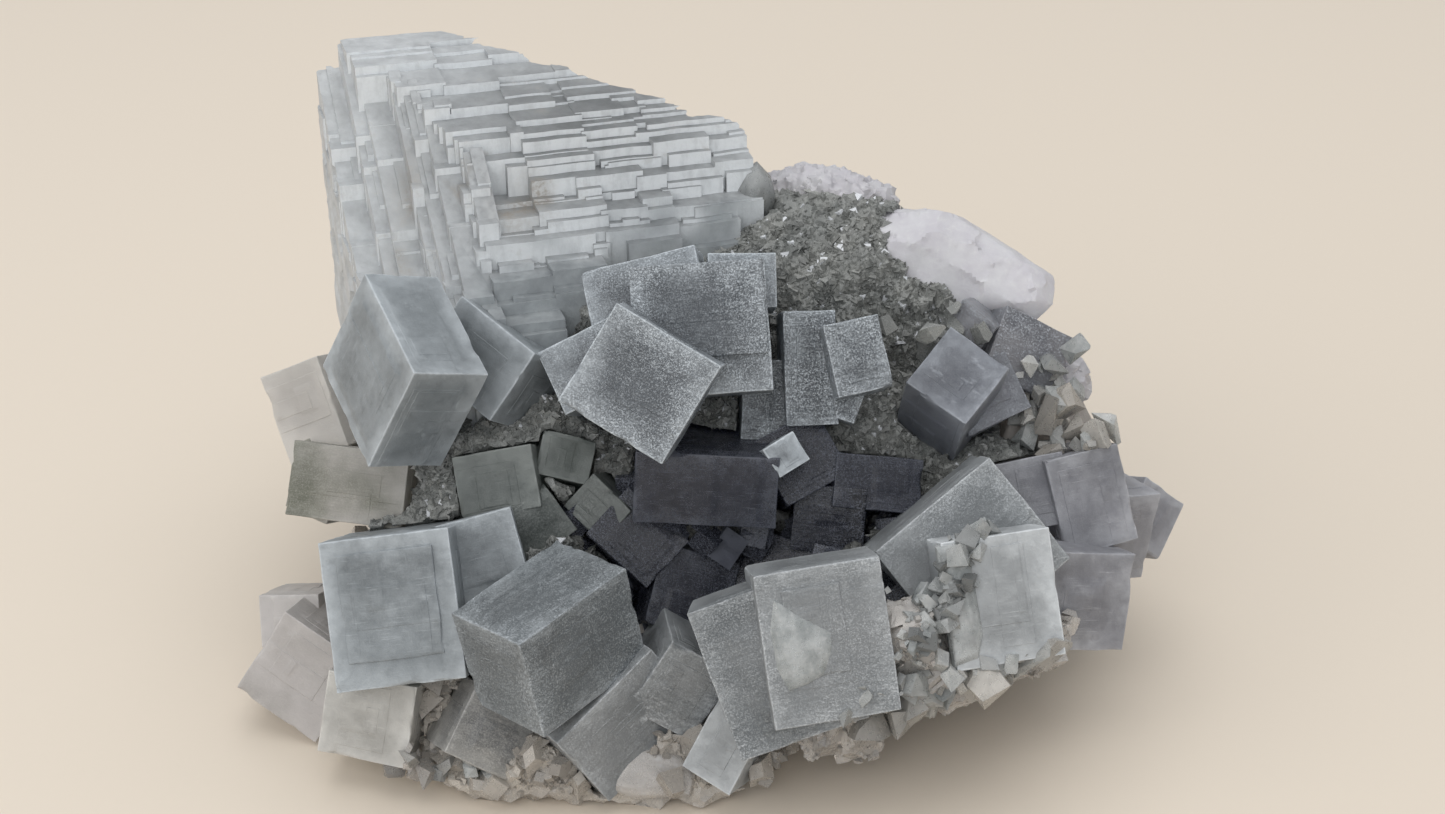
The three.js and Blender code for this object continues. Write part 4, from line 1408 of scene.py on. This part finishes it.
def make_heap(heap, solids, shape):
    """A heap of angular broken stones along a line, each of them on a solid."""
    rng = np.random.default_rng(heap.seed)
    start, end = np.array(heap.start), np.array(heap.end)
    tone, warm = (shape.verts.layers.float.new(name) for name in ("tone", "warm"))
    for _ in range(heap.count):
        size = heap.sizes[0] + (heap.sizes[1] - heap.sizes[0]) * rng.uniform() ** 2
        middle = start + (end - start) * rng.uniform() + rng.normal(size=3) * heap.spread
        middle[2] = max(middle[2], size * 0.4)
        spot = Vector(metres(middle))
        near, normal, _, gap = solids.find_nearest(spot)
        if gap > size * STONE_GAP * MM and (spot - near).dot(normal) > 0:
            middle = millimetres(np.array(near.lerp(spot, size * STONE_GAP * MM / gap)))
        axes = crystal_axes((rng.uniform(-60, 60), rng.uniform(-30, 60), rng.uniform(-60, 60)))
        corners = rng.choice([-1, 1], (STONE_CORNERS, 3)) * rng.uniform(0.4, 1, (STONE_CORNERS, 3))
        corners = corners * rng.uniform(0.45, 1, 3) * size / 2
        own = rng.uniform(*heap.tones)
        warmth = heap.warm * rng.uniform(0, 1.6)
        for vertex in hull_of(shape, metres(middle + corners @ axes.T)):
            vertex[tone], vertex[warm] = own, warmth


def make_flake(flake, shape):
    """A thin broken flake on a crystal's face, domed and faceted."""
    rng = np.random.default_rng(flake.seed)
    outline = np.array(flake.outline)
    centre = outline.mean(axis=0)
    rings = [np.column_stack([outline, np.full(len(outline), -0.4)])]
    for share in FLAKE_RINGS:
        spot = centre + (outline - centre) * share * rng.uniform(0.92, 1.0, (len(outline), 1))
        height = flake.rise * (1 - share**3) * rng.uniform(0.85, 1.15, len(outline)) + 0.1
        rings.append(np.column_stack([spot, height]))
    tone = shape.verts.layers.float.new("tone")
    corners = np.array(flake.at) + np.concatenate(rings) @ crystal_axes(flake.turn).T
    for vertex in hull_of(shape, metres(corners)):
        vertex[tone] = rng.uniform(*flake.tones)


class FLUORITE_OT_stones(bpy.types.Operator):
    """Broken stones beside the front plates and along the foot, and flakes on some crystals"""

    bl_idname = "fluorite.stones"
    bl_label = "Broken Stones"

    def execute(self, context):
        solids = solids_near()
        for one in (*HEAPS, *FLAKES):
            mesh = bpy.data.meshes.new(one.name)
            with opened(mesh, empty=True) as shape:
                if one in HEAPS:
                    make_heap(one, solids, shape)
                else:
                    make_flake(one, shape)
                for vertex in shape.verts:
                    vertex.co.z = max(vertex.co.z, 0)
                bmesh.ops.recalc_face_normals(shape, faces=shape.faces)
            finish_piece(add_object(one.name, mesh), one.node, one.finish)
        return {"FINISHED"}


# Clusters


class FLUORITE_OT_plates(bpy.types.Operator):
    """Flat square plates, over the hollow and at the front right"""

    bl_idname = "fluorite.plates"
    bl_label = "Plates"

    def execute(self, context):
        grow_cluster(context, "plate_cluster", PLATES, "clear", 11)
        grow_cluster(context, "front_plates", FRONT_PLATES, "pale", 12)
        grow_cluster(context, "rim_plates", RIM_PLATES, "pale", 13)
        return {"FINISHED"}


class FLUORITE_OT_hollow(bpy.types.Operator):
    """Dark cubes in the hollow, and the grey-green ones beside it"""

    bl_idname = "fluorite.hollow"
    bl_label = "Cubes in the Hollow"

    def execute(self, context):
        grow_cluster(context, "valley_cubes", VALLEY_CUBES, "smoky", 21)
        grow_cluster(context, "olive_cubes", OLIVE_CUBES, "olive", 22)
        return {"FINISHED"}


class FLUORITE_OT_left(bpy.types.Operator):
    """Cubes at the left edge"""

    bl_idname = "fluorite.left"
    bl_label = "Left Cubes"

    def execute(self, context):
        grow_cluster(context, "left_cubes", LEFT_CUBES, "frosted", 31)
        grow_cluster(context, "far_left_cubes", FAR_LEFT_CUBES, "edge", 32)
        grow_cluster(context, "outer_left_cubes", OUTER_LEFT_CUBES, "lilac", 33)
        return {"FINISHED"}


class FLUORITE_OT_front(bpy.types.Operator):
    """Cubes along the front, from the left to the middle"""

    bl_idname = "fluorite.front"
    bl_label = "Front Cubes"

    def execute(self, context):
        grow_cluster(context, "front_left_cubes", FRONT_LEFT_CUBES, "frosted", 41)
        grow_cluster(context, "pale_cubes", PALE_CUBES, "cream", 42)
        grow_cluster(context, "ridge_cubes", RIDGE_CUBES, "pale", 43)
        return {"FINISHED"}


class FLUORITE_OT_right(bpy.types.Operator):
    """Cubes at the right edge and below the crest"""

    bl_idname = "fluorite.right"
    bl_label = "Right Cubes"

    def execute(self, context):
        grow_cluster(context, "right_cubes", RIGHT_CUBES, "mauve", 51)
        grow_cluster(context, "smoky_cubes", SMOKY_CUBES, "dusky", 52)
        grow_cluster(context, "brown_cubes", BROWN_CUBES, "brown", 53)
        return {"FINISHED"}


class FLUORITE_OT_back(bpy.types.Operator):
    """Cubes on the back"""

    bl_idname = "fluorite.back"
    bl_label = "Back Cubes"

    def execute(self, context):
        grow_cluster(context, "back_cubes", BACK_CUBES, "frosted", 61)
        grow_cluster(context, "back_left_cubes", BACK_LEFT_CUBES, "mauve", 62)
        return {"FINISHED"}


# Stage

# Each soft light: its place in metres, its size, its share of the key light's power, and its tint
LIGHTS = {
    "key": ((0.05, 0.08, 0.86), 0.95, 1, (1, 0.99, 0.98)),
    "side": ((-0.8, -0.35, 0.45), 0.6, 0.55, (1, 0.99, 0.98)),
    "fill": ((-0.2, -0.8, 0.55), 0.7, 0.72, (0.98, 0.99, 1)),
}
LIGHTS_AIM = (0, 0, 0.03)
SKY_TINT = (0.95, 0.97, 1, 1)
FLOOR_HALF = 3
# The camera looks down at this angle, from this far in millimetres, and sees this wide
VIEW_PITCH, VIEW_DISTANCE, VIEW_WIDTH = 28, 243, 38
VIEW_AIM = (1.3, 0, 30.1)
SENSOR_WIDTH = 36


def add_light(name, place, size, power, tint):
    data = bpy.data.lights.new(name, "AREA")
    data.shape = "SQUARE"
    data.size = size
    data.energy = power
    data.color = tint
    light = add_object(name, data)
    light.location = place
    light.rotation_euler = (Vector(LIGHTS_AIM) - Vector(place)).to_track_quat("-Z", "Y").to_euler()


def add_floor(tint):
    mesh = bpy.data.meshes.new("floor")
    with opened(mesh, empty=True) as shape:
        bmesh.ops.create_grid(shape, x_segments=8, y_segments=8, size=FLOOR_HALF)
    material, nodes = new_material("floor")
    tint = nodes.blend(nodes.grain(0.9, 4.0, 0.6), shade(tint, 0.985), tint)
    surface = nodes.add("ShaderNodeBsdfPrincipled", {"Base Color": tint, "Roughness": 0.75})
    nodes.add("ShaderNodeOutputMaterial", {"Surface": surface.outputs[0]})
    mesh.materials.append(material)
    add_object("floor", mesh)


def add_camera():
    pitch = math.radians(VIEW_PITCH)
    data = bpy.data.cameras.new("camera")
    data.sensor_width = SENSOR_WIDTH
    data.lens = SENSOR_WIDTH / 2 / math.tan(math.radians(VIEW_WIDTH / 2))
    data.clip_start = 0.01
    camera = add_object("camera", data)
    away = Vector((0, -math.cos(pitch), math.sin(pitch))) * VIEW_DISTANCE
    camera.location = (Vector(VIEW_AIM) - Vector(MIDDLE) + away) * MM
    camera.rotation_euler = (math.radians(90) - pitch, 0, 0)
    return camera


class FLUORITE_OT_stage(bpy.types.Operator):
    """Plain pale floor, soft lights and the camera"""

    bl_idname = "fluorite.stage"
    bl_label = "Stage"

    def execute(self, context):
        scene = context.scene
        settings = scene.fluorite_stage
        add_floor(tuple(settings.floor))
        for name, (place, size, share, tint) in LIGHTS.items():
            add_light(name, place, size, settings.key_power * share, tint)
        scene.world = bpy.data.worlds.new("sky")
        scene.world.use_nodes = True
        background = scene.world.node_tree.nodes["Background"].inputs
        background["Color"].default_value = SKY_TINT
        background["Strength"].default_value = settings.sky
        scene.camera = add_camera()
        scene.view_settings.view_transform = "Standard"
        return {"FINISHED"}


PIECES = (
    FLUORITE_OT_matrix,
    FLUORITE_OT_stepped,
    FLUORITE_OT_plates,
    FLUORITE_OT_hollow,
    FLUORITE_OT_left,
    FLUORITE_OT_front,
    FLUORITE_OT_right,
    FLUORITE_OT_back,
    FLUORITE_OT_ledge,
    FLUORITE_OT_crusts,
    FLUORITE_OT_stones,
    FLUORITE_OT_stage,
)
SETTINGS = {
    "fluorite_crystals": (CrystalSettings, "Crystals"),
    "fluorite_druse": (DruseSettings, "Druse"),
    "fluorite_finishes": (FinishSettings, "Colours"),
    "fluorite_stage": (StageSettings, "Stage"),
}


class FLUORITE_PT_panel(bpy.types.Panel):
    bl_label = "Fluorite Specimen"
    bl_space_type = "VIEW_3D"
    bl_region_type = "UI"
    bl_category = "Fluorite"

    def draw(self, context):
        for name, (group, title) in SETTINGS.items():
            box = self.layout.box()
            box.label(text=title)
            for setting in group.__annotations__:
                box.prop(getattr(context.scene, name), setting)
        for piece in PIECES:
            self.layout.operator(piece.bl_idname)


CLASSES = (*(group for group, _ in SETTINGS.values()), *PIECES, FLUORITE_PT_panel)


def register():
    for one in CLASSES:
        bpy.utils.register_class(one)
    for name, (group, _) in SETTINGS.items():
        setattr(bpy.types.Scene, name, PointerProperty(type=group))


def unregister():
    for name in SETTINGS:
        delattr(bpy.types.Scene, name)
    for one in reversed(CLASSES):
        bpy.utils.unregister_class(one)


def main():
    register()
    for piece in PIECES:
        family, name = piece.bl_idname.split(".")
        if getattr(getattr(bpy.ops, family), name)() != {"FINISHED"}:
            raise RuntimeError(f"{piece.bl_label} wasn't made")
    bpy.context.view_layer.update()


if __name__ == "__main__":
    main()
